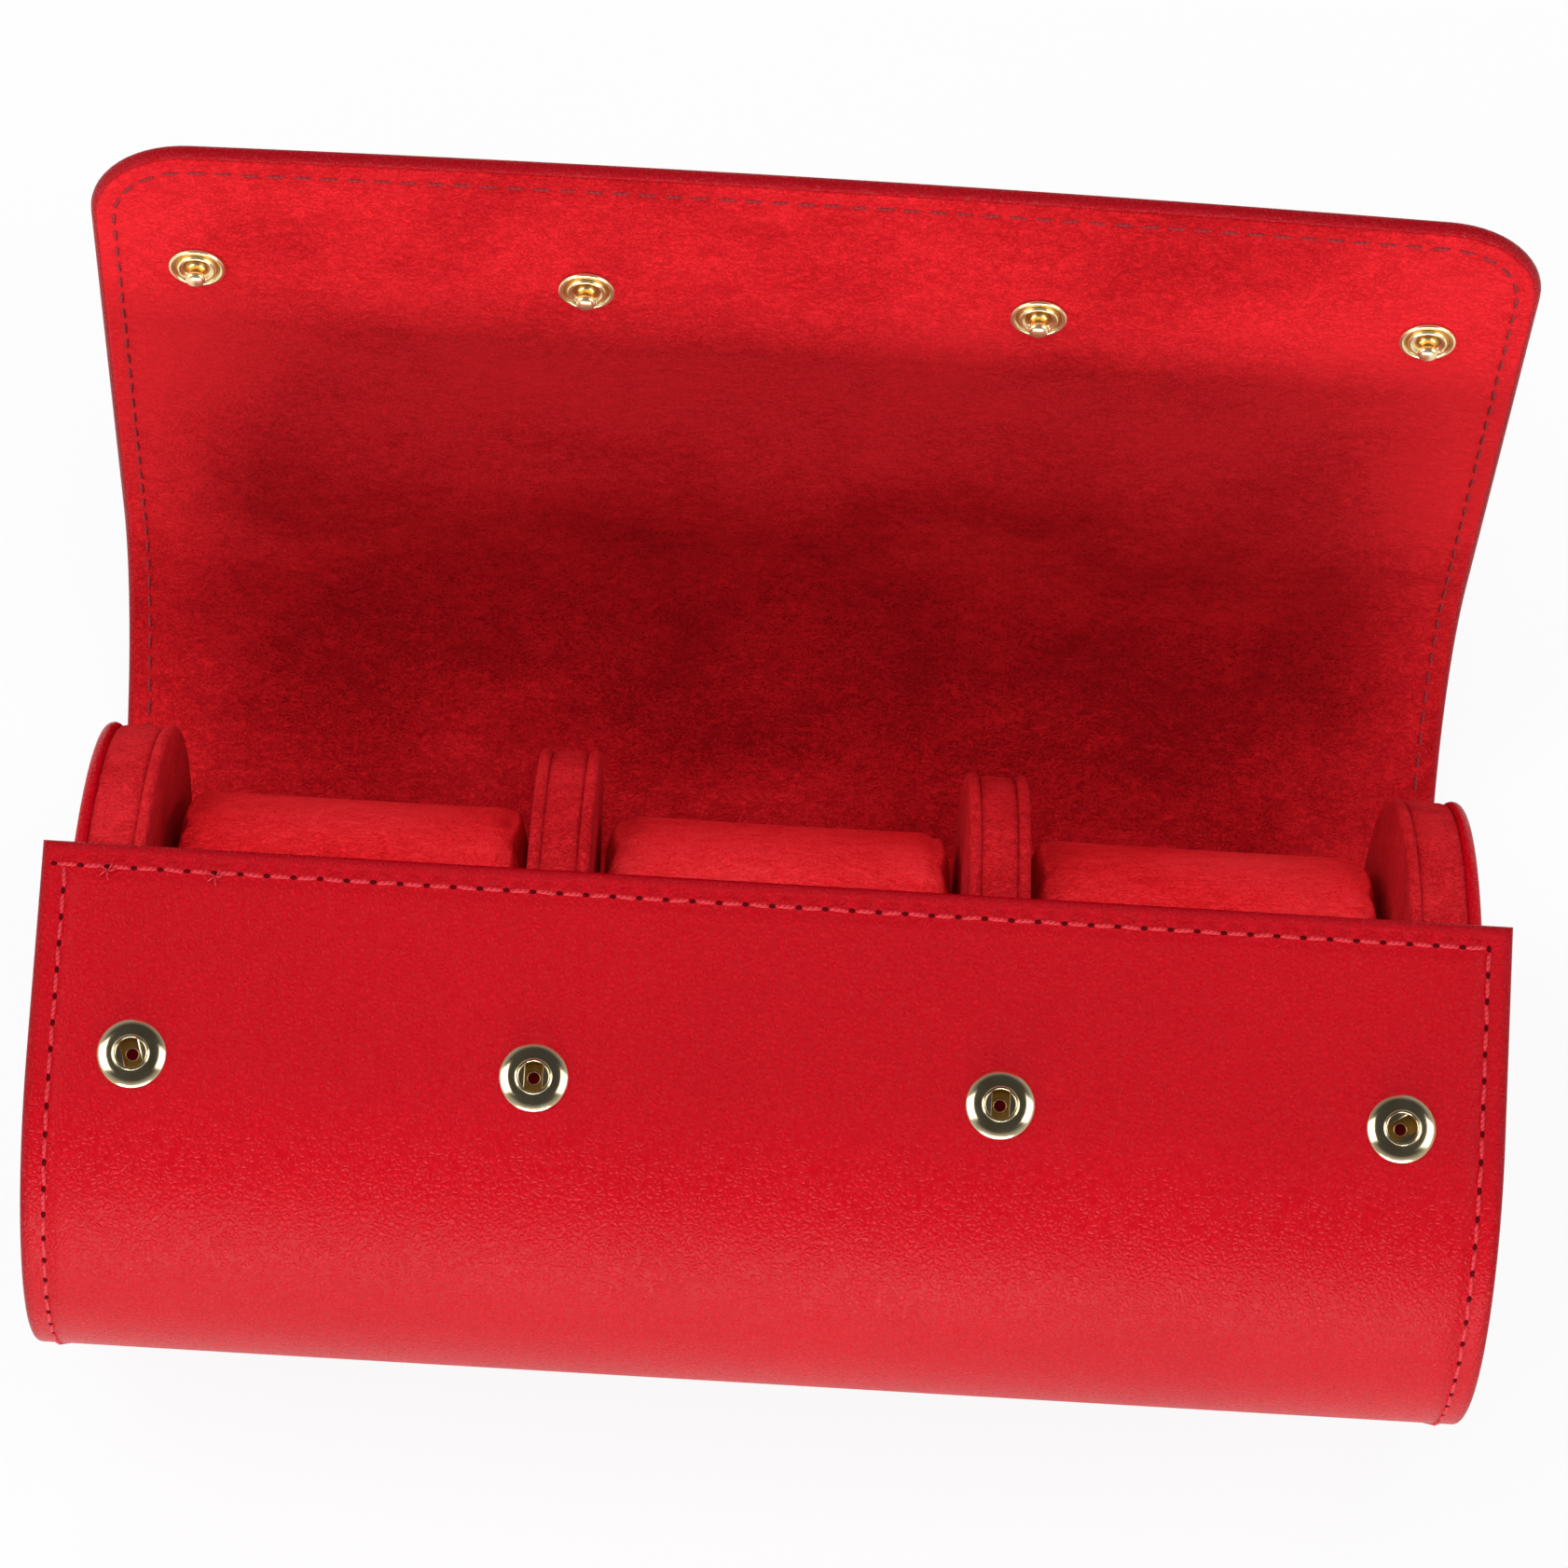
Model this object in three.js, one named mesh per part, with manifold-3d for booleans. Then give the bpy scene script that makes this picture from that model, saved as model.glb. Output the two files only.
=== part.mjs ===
// Watch roll: one long wrap of leather, board and velvet that curls round two end discs and two dividers,
// holds three loose pillows, and closes with a flap on four snaps.
// X runs along the roll, Y to the back, Z up.
import * as THREE from 'three';
import { mergeVertices } from 'three/addons/utils/BufferGeometryUtils.js';
import Module from 'manifold-3d';

const wasm = await Module();
wasm.setup();

// Layers of the wrap and the flap
const roll_width = 205;
const leather_thickness = 0.9;
const board_thickness = 0.6;
const lining_thickness = 0.6;
const layer_gap = 0.2;
const turned_edge = 1.5;
const sheet_thickness = leather_thickness + board_thickness + lining_thickness + 2 * layer_gap;
const edge_gap = 0.3;

// Curl of the wrap, measured on its velvet face, in degrees and in shares of the disc radius
const disc_radius = 44;
const disc_fit = 0.3;
const wrap_radius = disc_radius + disc_fit;
const base_flat_share = 0.2273;
const base_flat = disc_radius * base_flat_share;
const under_turn = 76;
const bulge_radius_share = 0.7898;
const bulge_radius = disc_radius * bulge_radius_share;
const panel_tilt = 9;
const panel_reach_share = 0.4409;
const panel_reach = disc_radius * panel_reach_share;
const base_board_turn = 60;

// Flap: a foot on the table, a curved back, a straight upper part and a straight tip
const foot_length_share = 0.5114;
const foot_length = disc_radius * foot_length_share;
const back_radius_share = 1.1523;
const back_radius = disc_radius * back_radius_share;
const back_turn = 77;
const foot_fold = 24.8;
const back_fold = 21.5;
const upper_fold = 12;
const tip_beyond_studs_share = 0.5568;
const tip_beyond_studs = disc_radius * tip_beyond_studs_share;
const tip_corner_radius = 14.5;
const fold_gap = 0.3;
const tip_relief = 10.5;
const board_end_gap = 1;

// Discs and dividers
const end_disc_overhang = 3;
const end_disc_thickness = 10.8;
const divider_thickness = 9.5;
const face_thickness = 2.1;
const disc_leather_thickness = 2.2;
const rim_strip_thickness = 1;
const face_edge_shares = [0.2, 0.6];
const face_crown = 0.35;
const rim_inset = 0.35;
const stack_gap = 0.2;

// Pillows
const slots_length = roll_width - 2 * (end_disc_overhang + end_disc_thickness + divider_thickness);
const slot_count = 3;
const slot_width = slots_length / slot_count;
const divider_offset = (slot_width + divider_thickness) / 2;
const pillow_side_gap = 1.15;
const pillow_length_share = 1.6818;
const pillow_length = disc_radius * pillow_length_share;
const pillow_depth_share = 1.2727;
const pillow_depth = disc_radius * pillow_depth_share;
const pillow_width = slot_width - 2 * pillow_side_gap;
const pillow_fit = 0.3;
const pillow_slant = 30;
const pillow_squareness = 3;
const pillow_slit_length_share = 0.6;
const pillow_slit_length = pillow_width * pillow_slit_length_share;
const pillow_slit_width = 1;
const pillow_slit_floor_share = 0.945;
const cover_shares = [
  [1, 0], [0.994, 0.5], [0.968, 0.82], [0.93, 0.925], [0.905, 0.91], [0.86, 0.95], [0.62, 0.985], [0, 1],
];
const lining_shares = [[0.95, 0], [0.935, 0.6], [0.87, 0.87], [0.6, 0.935], [0, 0.955]];
const foam_shares = [[0.93, 0], [0.915, 0.58], [0.85, 0.85], [0.6, 0.915], [0, 0.935]];

// Snaps: a socket with a two-bar spring on the front panel, a stud with a cap on the flap tip
const snap_end_inset = 14.6;
const snap_divider_offset = 1.15;
const socket_panel_share = 0.98;
const snap_shut_gap = 2.3;
const socket_radius = 4.8;
const socket_height = 1.25;
const socket_flange_shares = [0.3, 0.7];
const socket_ring_radius = 2.95;
const socket_bore_radius = 2.1;
const socket_stub_radius = 2.6;
const socket_depth = 1.6;
const socket_floor = 0.4;
const socket_lip = 0.3;
const spring_bar_gap = 2.6;
const spring_bar_width = 0.4;
const spring_thickness = 0.4;
const spring_play = 0.05;
const spring_radius = 2.5;
const spring_clocks = [-20, 0, 0, 45];
const post_radius = 1;
const post_play = 0.1;
const post_flange_radius = 3;
const post_flange_thickness = 0.5;
const post_seat = 0.15;
const post_short = 0.2;
const stud_radius = 4;
const stud_flange_thickness = 0.7;
const stud_rim_share = 0.6;
const stud_collar_radius = 2.5;
const stud_collar_height = 0.9;
const stud_neck_radius = 1.1;
const stud_neck_height = 1.9;
const stud_ball_radius = 1.5;
const stud_height = 3.3;
const stud_ball_shares = [0.4, 0.7];
const cap_radius = 5;
const cap_height = 1.3;
const cap_seat = 0.05;
const cap_shares = [[0, 1], [0.6, 0.82], [0.9, 0.45], [1, 0.15]];
const snap_hole_gap = 0.3;

// Roundness of the turned and curved pieces
const curve_step = 7.5;
const disc_facets = 36;
const snap_facets = 16;
const pillow_facets = 24;
const corner_facets = 8;
const spring_facets = 4;
const same_place = 1e-3;
const weld_distance = 1e-4;
const overcut = 1;

// Colours
const red_leather = { color: 0xc4121c, roughness: 0.42, metalness: 0 };
const red_velvet = { color: 0xb01018, roughness: 0.95, metalness: 0 };
const grey_board = { color: 0x8f8b84, roughness: 0.9, metalness: 0 };
const cream_foam = { color: 0xe4dcc6, roughness: 0.95, metalness: 0 };
const pale_gold = { color: 0xd8bc84, roughness: 0.28, metalness: 1 };
const spring_steel = { color: 0xc9cdd0, roughness: 0.35, metalness: 1 };

const radians = THREE.MathUtils.degToRad;
const roll = new THREE.Group();
roll.name = 'watch_roll';
roll.position.y = -base_flat / 2;

// Height of the disc centres above the table
const disc_height = sheet_thickness + disc_fit + disc_radius;
const half_width = roll_width / 2;

// Puts one named piece into a group
function place(group, name, geometry, look) {
  const mesh = new THREE.Mesh(geometry, new THREE.MeshStandardMaterial(look));
  mesh.name = name;
  group.add(mesh);
  return mesh;
}

// Turns a surface into a solid that can be cut
function solid(geometry) {
  const bare = geometry.clone();
  bare.deleteAttribute('normal');
  bare.deleteAttribute('uv');
  const welded = mergeVertices(bare, weld_distance);
  const vertProperties = new Float32Array(welded.attributes.position.array);
  const triVerts = new Uint32Array(welded.index.array);
  return new wasm.Manifold(new wasm.Mesh({ numProp: 3, vertProperties, triVerts }));
}

// Turns a cut solid back into a surface
function surface(body) {
  const mesh = body.getMesh();
  const geometry = new THREE.BufferGeometry();
  geometry.setAttribute('position', new THREE.BufferAttribute(new Float32Array(mesh.vertProperties), 3));
  geometry.setIndex(new THREE.BufferAttribute(new Uint32Array(mesh.triVerts), 1));
  geometry.computeVertexNormals();
  return geometry;
}

// Point and heading at a distance along a run of straight and curved stretches
function pointAlong(run, distance) {
  let { y, z, heading } = run.start;
  let left = distance;
  const last = run.stretches.length - 1;
  for (let index = 0; index <= last; index += 1) {
    const { length, turn } = run.stretches[index];
    const inside = left <= length || index === last;
    const used = inside ? Math.min(left, length) : length;
    const curved = turn !== 0 && used > 0;
    const from = radians(heading);
    if (curved) {
      const radius = length / radians(turn);
      const to = from + used / radius;
      y += radius * (Math.sin(to) - Math.sin(from));
      z -= radius * (Math.cos(to) - Math.cos(from));
      heading += turn * used / length;
    } else {
      y += used * Math.cos(from);
      z += used * Math.sin(from);
    }
    left -= used;
    if (inside) break;
  }
  y += left * Math.cos(radians(heading));
  z += left * Math.sin(radians(heading));
  return { y, z, heading };
}

function runLength(run) {
  return run.stretches.reduce((sum, stretch) => sum + stretch.length, 0);
}

// Distances of the corners of a run between two trims, a trim below zero reaches past the end
function cornersAlong(run, trim_start, trim_end) {
  const total = runLength(run);
  const marks = [trim_start];
  let reached = 0;
  for (const { length, turn } of run.stretches) {
    const steps = Math.max(1, Math.ceil(Math.abs(turn) / curve_step));
    for (let step = 0; step <= steps; step += 1) marks.push(reached + length * step / steps);
    reached += length;
  }
  marks.push(total - trim_end);
  const kept = marks.filter((mark) => mark >= trim_start && mark <= total - trim_end);
  kept.sort((a, b) => a - b);
  return kept.filter((mark, index) => index === 0 || mark - kept[index - 1] > same_place);
}

// Cross-section of one layer that follows a run, from one depth to another below the velvet face
function layerOutline(run, trims, depths) {
  const [trim_start, trim_end, lean_start = 0, lean_end = 0] = trims;
  const outline = [];
  depths.forEach((depth, row) => {
    const lean = Math.max(depth, 0);
    const marks = cornersAlong(run, trim_start + lean * lean_start, trim_end + lean * lean_end);
    const points = marks.map((mark) => {
      const { y, z, heading } = pointAlong(run, mark);
      const angle = radians(heading);
      const away = depth * run.outside;
      return new THREE.Vector2(y - away * Math.sin(angle), z + away * Math.cos(angle));
    });
    if (row === 1) points.reverse();
    outline.push(...points);
  });
  return outline;
}

// Extrudes a cross-section along the roll, centred on X
function alongRoll(outline, width) {
  const geometry = new THREE.ExtrudeGeometry(new THREE.Shape(outline), { depth: width, bevelEnabled: false });
  geometry.translate(0, 0, -width / 2);
  const turned = new THREE.Matrix4().makeBasis(
    new THREE.Vector3(0, 1, 0),
    new THREE.Vector3(0, 0, 1),
    new THREE.Vector3(1, 0, 0),
  );
  geometry.applyMatrix4(turned);
  return geometry;
}

// Turns a profile of radius and height round Z
function turned(profile, facets) {
  const points = profile.map(([radius, height]) => new THREE.Vector2(radius, height));
  if (profile[0][0] > 0) points.push(points[0].clone());
  const geometry = new THREE.LatheGeometry(points, facets);
  geometry.rotateX(radians(90));
  return geometry;
}

function peg(radius, low, high) {
  return solid(turned([[0, low], [radius, low], [radius, high], [0, high]], snap_facets));
}

// Depths of the three layers below the velvet face
const lining_depths = [0, lining_thickness];
const board_depths = [lining_thickness + layer_gap, lining_thickness + layer_gap + board_thickness];
const leather_floor = sheet_thickness - leather_thickness;
const recess_depths = [-overcut, leather_floor];
const recess_width = roll_width - 2 * turned_edge;
const lining_width = recess_width - 2 * edge_gap;

// Runs of the wrap and of the flap with the flap open
const hinge_gap = fold_gap / 2;
const bulge_turn = 180 - under_turn - panel_tilt;
const bulge_start = (wrap_radius - bulge_radius) * Math.tan(radians(bulge_turn / 2));
const wrap_run = {
  outside: 1,
  start: { y: base_flat, z: sheet_thickness, heading: 180 },
  stretches: [
    { length: base_flat, turn: 0 },
    { length: wrap_radius * radians(under_turn), turn: -under_turn },
    { length: bulge_start, turn: 0 },
    { length: bulge_radius * radians(bulge_turn), turn: -bulge_turn },
    { length: bulge_start + panel_reach, turn: 0 },
  ],
};
const wrap_length = runLength(wrap_run);
const foot_run = {
  outside: -1,
  start: { y: base_flat, z: sheet_thickness, heading: 0 },
  stretches: [{ length: foot_length, turn: 0 }],
};
const back_run = {
  outside: -1,
  start: pointAlong(foot_run, foot_length),
  stretches: [{ length: back_radius * radians(back_turn), turn: back_turn }],
};

// Upper part and tip are as long as the studs need to meet the sockets when the flap is shut
const panel_length = bulge_start + panel_reach;
const socket_point = pointAlong(wrap_run, wrap_length - panel_length * socket_panel_share);
const panel_up = new THREE.Vector2(-Math.sin(radians(panel_tilt)), Math.cos(radians(panel_tilt)));
const shut_stud = new THREE.Vector2(socket_point.y, socket_point.z);
shut_stud.addScaledVector(panel_up, sheet_thickness + snap_shut_gap);
const shut_foot = { ...foot_run, start: { ...foot_run.start, heading: foot_fold } };
const shut_back_start = pointAlong(shut_foot, foot_length);
const shut_back_heading = foot_fold + back_fold;
const shut_back = { ...back_run, start: { ...shut_back_start, heading: shut_back_heading } };
const shut_upper_start = pointAlong(shut_back, runLength(back_run));
const upper_heading = radians(shut_back_heading + back_turn + upper_fold);
const upper_way = new THREE.Vector2(Math.cos(upper_heading), Math.sin(upper_heading));
const tip_heading = radians(180 + panel_tilt);
const tip_way = new THREE.Vector2(Math.cos(tip_heading), Math.sin(tip_heading));
const to_stud = shut_stud.clone().sub(new THREE.Vector2(shut_upper_start.y, shut_upper_start.z));
const upper_length = to_stud.cross(tip_way) / upper_way.cross(tip_way);
const stud_place = upper_way.cross(to_stud) / upper_way.cross(tip_way);
const upper_run = {
  outside: -1,
  start: pointAlong(back_run, runLength(back_run)),
  stretches: [{ length: upper_length, turn: 0 }],
};
const tip_length = stud_place + tip_beyond_studs;

// Frames whose Y runs up the panel or the tip; Z leaves the panel outwards and the tip on its velvet side
const panel_frame = new THREE.Group();
panel_frame.position.set(0, socket_point.y, socket_point.z);
panel_frame.rotation.x = radians(panel_tilt);
roll.add(panel_frame);
const tip_start = pointAlong(upper_run, upper_length);
const tip_frame = new THREE.Group();
tip_frame.position.set(0, tip_start.y, tip_start.z);
tip_frame.rotation.x = radians(tip_start.heading);
roll.add(tip_frame);
const snap_outer = half_width - snap_end_inset;
const snap_inner = divider_offset + snap_divider_offset;
const snap_places = [-snap_outer, -snap_inner, snap_inner, snap_outer];
panel_frame.updateMatrix();

// Drills the four snap holes through a piece of the front panel
function drillPanel(body, radius) {
  let cut = body;
  for (const x of snap_places) {
    const hole = surface(peg(radius, -overcut, sheet_thickness + overcut));
    hole.translate(x, 0, 0);
    hole.applyMatrix4(panel_frame.matrix);
    cut = cut.subtract(solid(hole));
  }
  return cut;
}

// Wrap: leather with its edges turned in over a curved base board, a flat front board and one velvet lining
const stub_hole = socket_stub_radius + snap_hole_gap;
const post_hole = post_radius + snap_hole_gap;
const wrap_skin = solid(alongRoll(layerOutline(wrap_run, [hinge_gap, 0], [0, sheet_thickness]), roll_width));
const recess_outline = layerOutline(wrap_run, [-overcut, turned_edge], recess_depths);
const wrap_recess = solid(alongRoll(recess_outline, recess_width));
place(roll, 'wrap_leather', surface(drillPanel(wrap_skin.subtract(wrap_recess), stub_hole)), red_leather);
const wrap_trims = [hinge_gap, turned_edge + edge_gap];
const wrap_lining = solid(alongRoll(layerOutline(wrap_run, wrap_trims, lining_depths), lining_width));
place(roll, 'wrap_lining', surface(drillPanel(wrap_lining, post_hole)), red_velvet);
const base_board_length = base_flat + wrap_radius * radians(base_board_turn);
const base_trims = [board_end_gap, wrap_length - base_board_length];
const base_outline = layerOutline(wrap_run, base_trims, board_depths);
place(roll, 'wrap_base_board', alongRoll(base_outline, lining_width), grey_board);
const front_trims = [wrap_length - panel_length, turned_edge + edge_gap];
const front_board = solid(alongRoll(layerOutline(wrap_run, front_trims, board_depths), lining_width));
place(roll, 'wrap_front_board', surface(drillPanel(front_board, stub_hole)), grey_board);

// Flap foot, back and upper part: the same three layers, cut across at each fold
const relief_lean = Math.tan(radians(tip_relief));
const flap_parts = [
  { name: 'flap_foot', run: foot_run, lean: 0 },
  { name: 'flap_back', run: back_run, lean: 0 },
  { name: 'flap_upper', run: upper_run, lean: relief_lean },
];
for (const { name, run, lean } of flap_parts) {
  const trims = [hinge_gap, hinge_gap, 0, lean];
  const skin = solid(alongRoll(layerOutline(run, trims, [0, sheet_thickness]), roll_width));
  const recess = solid(alongRoll(layerOutline(run, [-overcut, -overcut], recess_depths), recess_width));
  const board_outline = layerOutline(run, [board_end_gap, board_end_gap], board_depths);
  place(roll, `${name}_leather`, surface(skin.subtract(recess)), red_leather);
  const lining_outline = layerOutline(run, trims, lining_depths);
  place(roll, `${name}_board`, alongRoll(board_outline, lining_width), grey_board);
  place(roll, `${name}_lining`, alongRoll(lining_outline, lining_width), red_velvet);
}

// One flat layer of the tip with its two round corners, between two heights of the tip frame
function tipLayer(inset, start, low, high) {
  const side = half_width - inset;
  const end = tip_length - inset;
  const corner = tip_corner_radius - inset;
  const shape = new THREE.Shape();
  shape.moveTo(-side, start);
  shape.lineTo(side, start);
  shape.lineTo(side, end - corner);
  shape.absarc(side - corner, end - corner, corner, 0, radians(90), false);
  shape.lineTo(corner - side, end);
  shape.absarc(corner - side, end - corner, corner, radians(90), radians(180), false);
  const geometry = new THREE.ExtrudeGeometry(shape, {
    depth: high - low,
    bevelEnabled: false,
    curveSegments: corner_facets,
  });
  geometry.translate(0, 0, low);
  return solid(geometry);
}

// Leans the fold end of a tip layer back so that the tip can also fold away from the pillows
const relief_outline = [
  new THREE.Vector2(-overcut, overcut),
  new THREE.Vector2(hinge_gap, overcut),
  new THREE.Vector2(hinge_gap, 0),
  new THREE.Vector2(hinge_gap + (sheet_thickness + overcut) * relief_lean, -sheet_thickness - overcut),
  new THREE.Vector2(-overcut, -sheet_thickness - overcut),
];
const relief = solid(alongRoll(relief_outline, roll_width + 2 * overcut));

function drillTip(body) {
  let cut = body;
  for (const x of snap_places) {
    const hole = surface(peg(post_hole, -sheet_thickness - overcut, overcut));
    hole.translate(x, stud_place, 0);
    cut = cut.subtract(solid(hole));
  }
  return cut;
}

const tip_recess = tipLayer(turned_edge, -overcut, -leather_floor, overcut);
const tip_skin = tipLayer(0, 0, -sheet_thickness, 0).subtract(tip_recess);
const lining_inset = turned_edge + edge_gap;
const tip_board = tipLayer(lining_inset, board_end_gap, -board_depths[1], -board_depths[0]);
const tip_lining = tipLayer(lining_inset, 0, -lining_thickness, 0).subtract(relief);
place(tip_frame, 'flap_tip_leather', surface(drillTip(tip_skin.subtract(relief))), red_leather);
place(tip_frame, 'flap_tip_board', surface(drillTip(tip_board)), grey_board);
place(tip_frame, 'flap_tip_lining', surface(drillTip(tip_lining)), red_velvet);

// A padded face: flat at the bottom, round at the edge and slightly crowned
function paddedFace(radius, thickness) {
  const [first, second] = face_edge_shares;
  const profile = [
    [0, 0],
    [radius - thickness * first, 0],
    [radius, thickness * first],
    [radius, thickness * second],
    [radius - thickness, thickness],
    [0, thickness + face_crown],
  ];
  return turned(profile, disc_facets);
}

function ring(inner, outer, height) {
  return turned([[inner, 0], [outer, 0], [outer, height], [inner, height]], disc_facets);
}

function plate(radius, height) {
  return turned([[0, 0], [radius, 0], [radius, height], [0, height]], disc_facets);
}

// Stacks the faces, core and rim strip of one disc; local Z runs outwards along the roll
function stackDisc(name, inner_face_x, outwards, faces, core_thickness) {
  const disc = new THREE.Group();
  disc.position.set(inner_face_x * outwards, 0, disc_height);
  disc.rotation.y = radians(90) * outwards;
  roll.add(disc);
  const rim_radius = disc_radius - rim_inset;
  const [near, far] = faces;
  const inner = place(disc, `${name}_${near.name}`, paddedFace(disc_radius, near.thickness), near.look);
  inner.position.z = near.thickness;
  inner.rotation.x = radians(180);
  const core_start = near.thickness + stack_gap;
  const core_length = core_thickness - 2 * stack_gap;
  const core_plate = plate(rim_radius - rim_strip_thickness - stack_gap, core_length);
  const core = place(disc, `${name}_core`, core_plate, grey_board);
  core.position.z = core_start;
  const strip = ring(rim_radius - rim_strip_thickness, rim_radius, core_length);
  place(disc, `${name}_rim_strip`, strip, red_velvet).position.z = core_start;
  const outer = place(disc, `${name}_${far.name}`, paddedFace(disc_radius, far.thickness), far.look);
  outer.position.z = near.thickness + core_thickness;
}

const velvet_face = (name) => ({ name, thickness: face_thickness - face_crown, look: red_velvet });
const leather_face = { name: 'leather', thickness: disc_leather_thickness - face_crown, look: red_leather };
const end_disc_inner = half_width - end_disc_overhang - end_disc_thickness + face_crown;
const end_core = end_disc_thickness - face_thickness - disc_leather_thickness;
const divider_inner = slot_width / 2 + face_crown;
const divider_core = divider_thickness - 2 * face_thickness;
for (const [side, outwards] of [['left', -1], ['right', 1]]) {
  stackDisc(`end_disc_${side}`, end_disc_inner, outwards, [velvet_face('velvet'), leather_face], end_core);
  const faces = [velvet_face('inner_face'), velvet_face('outer_face')];
  stackDisc(`divider_${side}`, divider_inner, outwards, faces, divider_core);
}

// One ring of a pillow: a rounded rectangle across the roll
function pillowRing(share) {
  const points = [];
  for (let facet = 0; facet < pillow_facets; facet += 1) {
    const angle = radians(360 * facet / pillow_facets);
    const round = 2 / pillow_squareness;
    const y = Math.sign(Math.cos(angle)) * Math.abs(Math.cos(angle)) ** round * pillow_length / 2;
    const z = Math.sign(Math.sin(angle)) * Math.abs(Math.sin(angle)) ** round * pillow_depth / 2;
    points.push([y * share, z * share]);
  }
  return points;
}

// Closed pillow surface through rings given as shares of the half width and of the ring size
function pillowSurface(shares) {
  const left = shares.map(([across, size]) => [-across, size]);
  const right = shares.slice(0, -1).reverse();
  const rows = [...left, ...right];
  const positions = [];
  const faces = [];
  rows.forEach(([across, size]) => {
    const x = across * pillow_width / 2;
    const row = size > 0 ? pillowRing(size) : [[0, 0]];
    row.forEach(([y, z]) => positions.push(x, y, z));
  });
  const ringStart = (row) => 1 + (row - 1) * pillow_facets;
  const last = rows.length - 1;
  const end = ringStart(last);
  for (let facet = 0; facet < pillow_facets; facet += 1) {
    const next = (facet + 1) % pillow_facets;
    faces.push(0, ringStart(1) + next, ringStart(1) + facet);
    for (let row = 1; row < last - 1; row += 1) {
      const a = ringStart(row) + facet;
      const b = ringStart(row) + next;
      const c = ringStart(row + 1) + facet;
      const d = ringStart(row + 1) + next;
      faces.push(a, b, d, a, d, c);
    }
    faces.push(end, ringStart(last - 1) + facet, ringStart(last - 1) + next);
  }
  const geometry = new THREE.BufferGeometry();
  geometry.setAttribute('position', new THREE.Float32BufferAttribute(positions, 3));
  geometry.setIndex(faces);
  geometry.computeVertexNormals();
  return geometry;
}

// Each pillow sinks until it all but touches the lining
const slant = radians(pillow_slant);
const sink_room = pillowRing(1).map(([y, z]) => {
  const back = y * Math.cos(slant) - z * Math.sin(slant);
  const up = y * Math.sin(slant) + z * Math.cos(slant);
  return up + Math.sqrt((wrap_radius - pillow_fit) ** 2 - back ** 2);
});
const pillow_height = disc_height - Math.min(...sink_room);
const cover_hollow = solid(pillowSurface(lining_shares));
const slit_room = pillow_depth / 2 * (1 - pillow_slit_floor_share) + overcut;
const slit = new THREE.BoxGeometry(pillow_slit_length, pillow_slit_width, slit_room);
slit.translate(0, 0, -pillow_depth / 2 - overcut + slit_room / 2);
const cover_body = solid(pillowSurface(cover_shares)).subtract(cover_hollow).subtract(solid(slit));
const slot_pitch = slot_width + divider_thickness;
for (const [side, x] of [['left', -slot_pitch], ['middle', 0], ['right', slot_pitch]]) {
  const pillow = new THREE.Group();
  pillow.position.set(x, 0, pillow_height);
  pillow.rotation.x = slant;
  roll.add(pillow);
  place(pillow, `pillow_${side}_cover`, surface(cover_body), red_velvet);
  place(pillow, `pillow_${side}_foam`, pillowSurface(foam_shares), cream_foam);
}

// Socket: a domed flange with a raised ring, a groove for the spring and a stub that goes into the leather
const groove_high = socket_height - socket_lip;
const groove_low = groove_high - spring_thickness - 2 * spring_play;
const groove_radius = spring_radius + 2 * spring_play;
const bore_floor = -socket_depth + socket_floor;
const socket_profile = [
  [post_radius + post_play, -socket_depth],
  [socket_stub_radius, -socket_depth],
  [socket_stub_radius, 0],
  [socket_radius, 0],
  [socket_radius, socket_height * socket_flange_shares[0]],
  [socket_ring_radius, socket_height * socket_flange_shares[1]],
  [socket_ring_radius, socket_height],
  [socket_bore_radius, socket_height],
  [socket_bore_radius, groove_high],
  [groove_radius, groove_high],
  [groove_radius, groove_low],
  [socket_bore_radius, groove_low],
  [socket_bore_radius, bore_floor],
  [post_radius + post_play, bore_floor],
];

// Spring: a flat ring with two bars that grip the neck of the stud
function springShape() {
  const shape = new THREE.Shape();
  shape.absarc(0, 0, spring_radius, 0, radians(360), false);
  const room = socket_bore_radius;
  const bar_inside = spring_bar_gap / 2;
  const bar_outside = bar_inside + spring_bar_width;
  const inside_angle = Math.asin(bar_inside / room);
  const outside_angle = Math.asin(bar_outside / room);
  const middle = new THREE.Path();
  middle.absarc(0, 0, room, -inside_angle, inside_angle, false);
  middle.absarc(0, 0, room, Math.PI - inside_angle, Math.PI + inside_angle, false);
  const upper = new THREE.Path();
  upper.absarc(0, 0, room, outside_angle, Math.PI - outside_angle, false);
  const lower = new THREE.Path();
  lower.absarc(0, 0, room, Math.PI + outside_angle, 2 * Math.PI - outside_angle, false);
  shape.holes.push(middle, upper, lower);
  return shape;
}

const spring_geometry = new THREE.ExtrudeGeometry(springShape(), {
  depth: spring_thickness,
  bevelEnabled: false,
  curveSegments: spring_facets,
});

// Post: an eyelet pressed from the velvet side into the floor of the socket
const post_base = -sheet_thickness - post_seat;
const post_top = bore_floor - post_short;
const post_profile = [
  [0, post_base - post_flange_thickness],
  [post_flange_radius - post_flange_thickness / 2, post_base - post_flange_thickness],
  [post_flange_radius, post_base - post_flange_thickness / 2],
  [post_flange_radius, post_base],
  [post_radius, post_base],
  [post_radius, post_top],
  [0, post_top],
];

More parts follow.
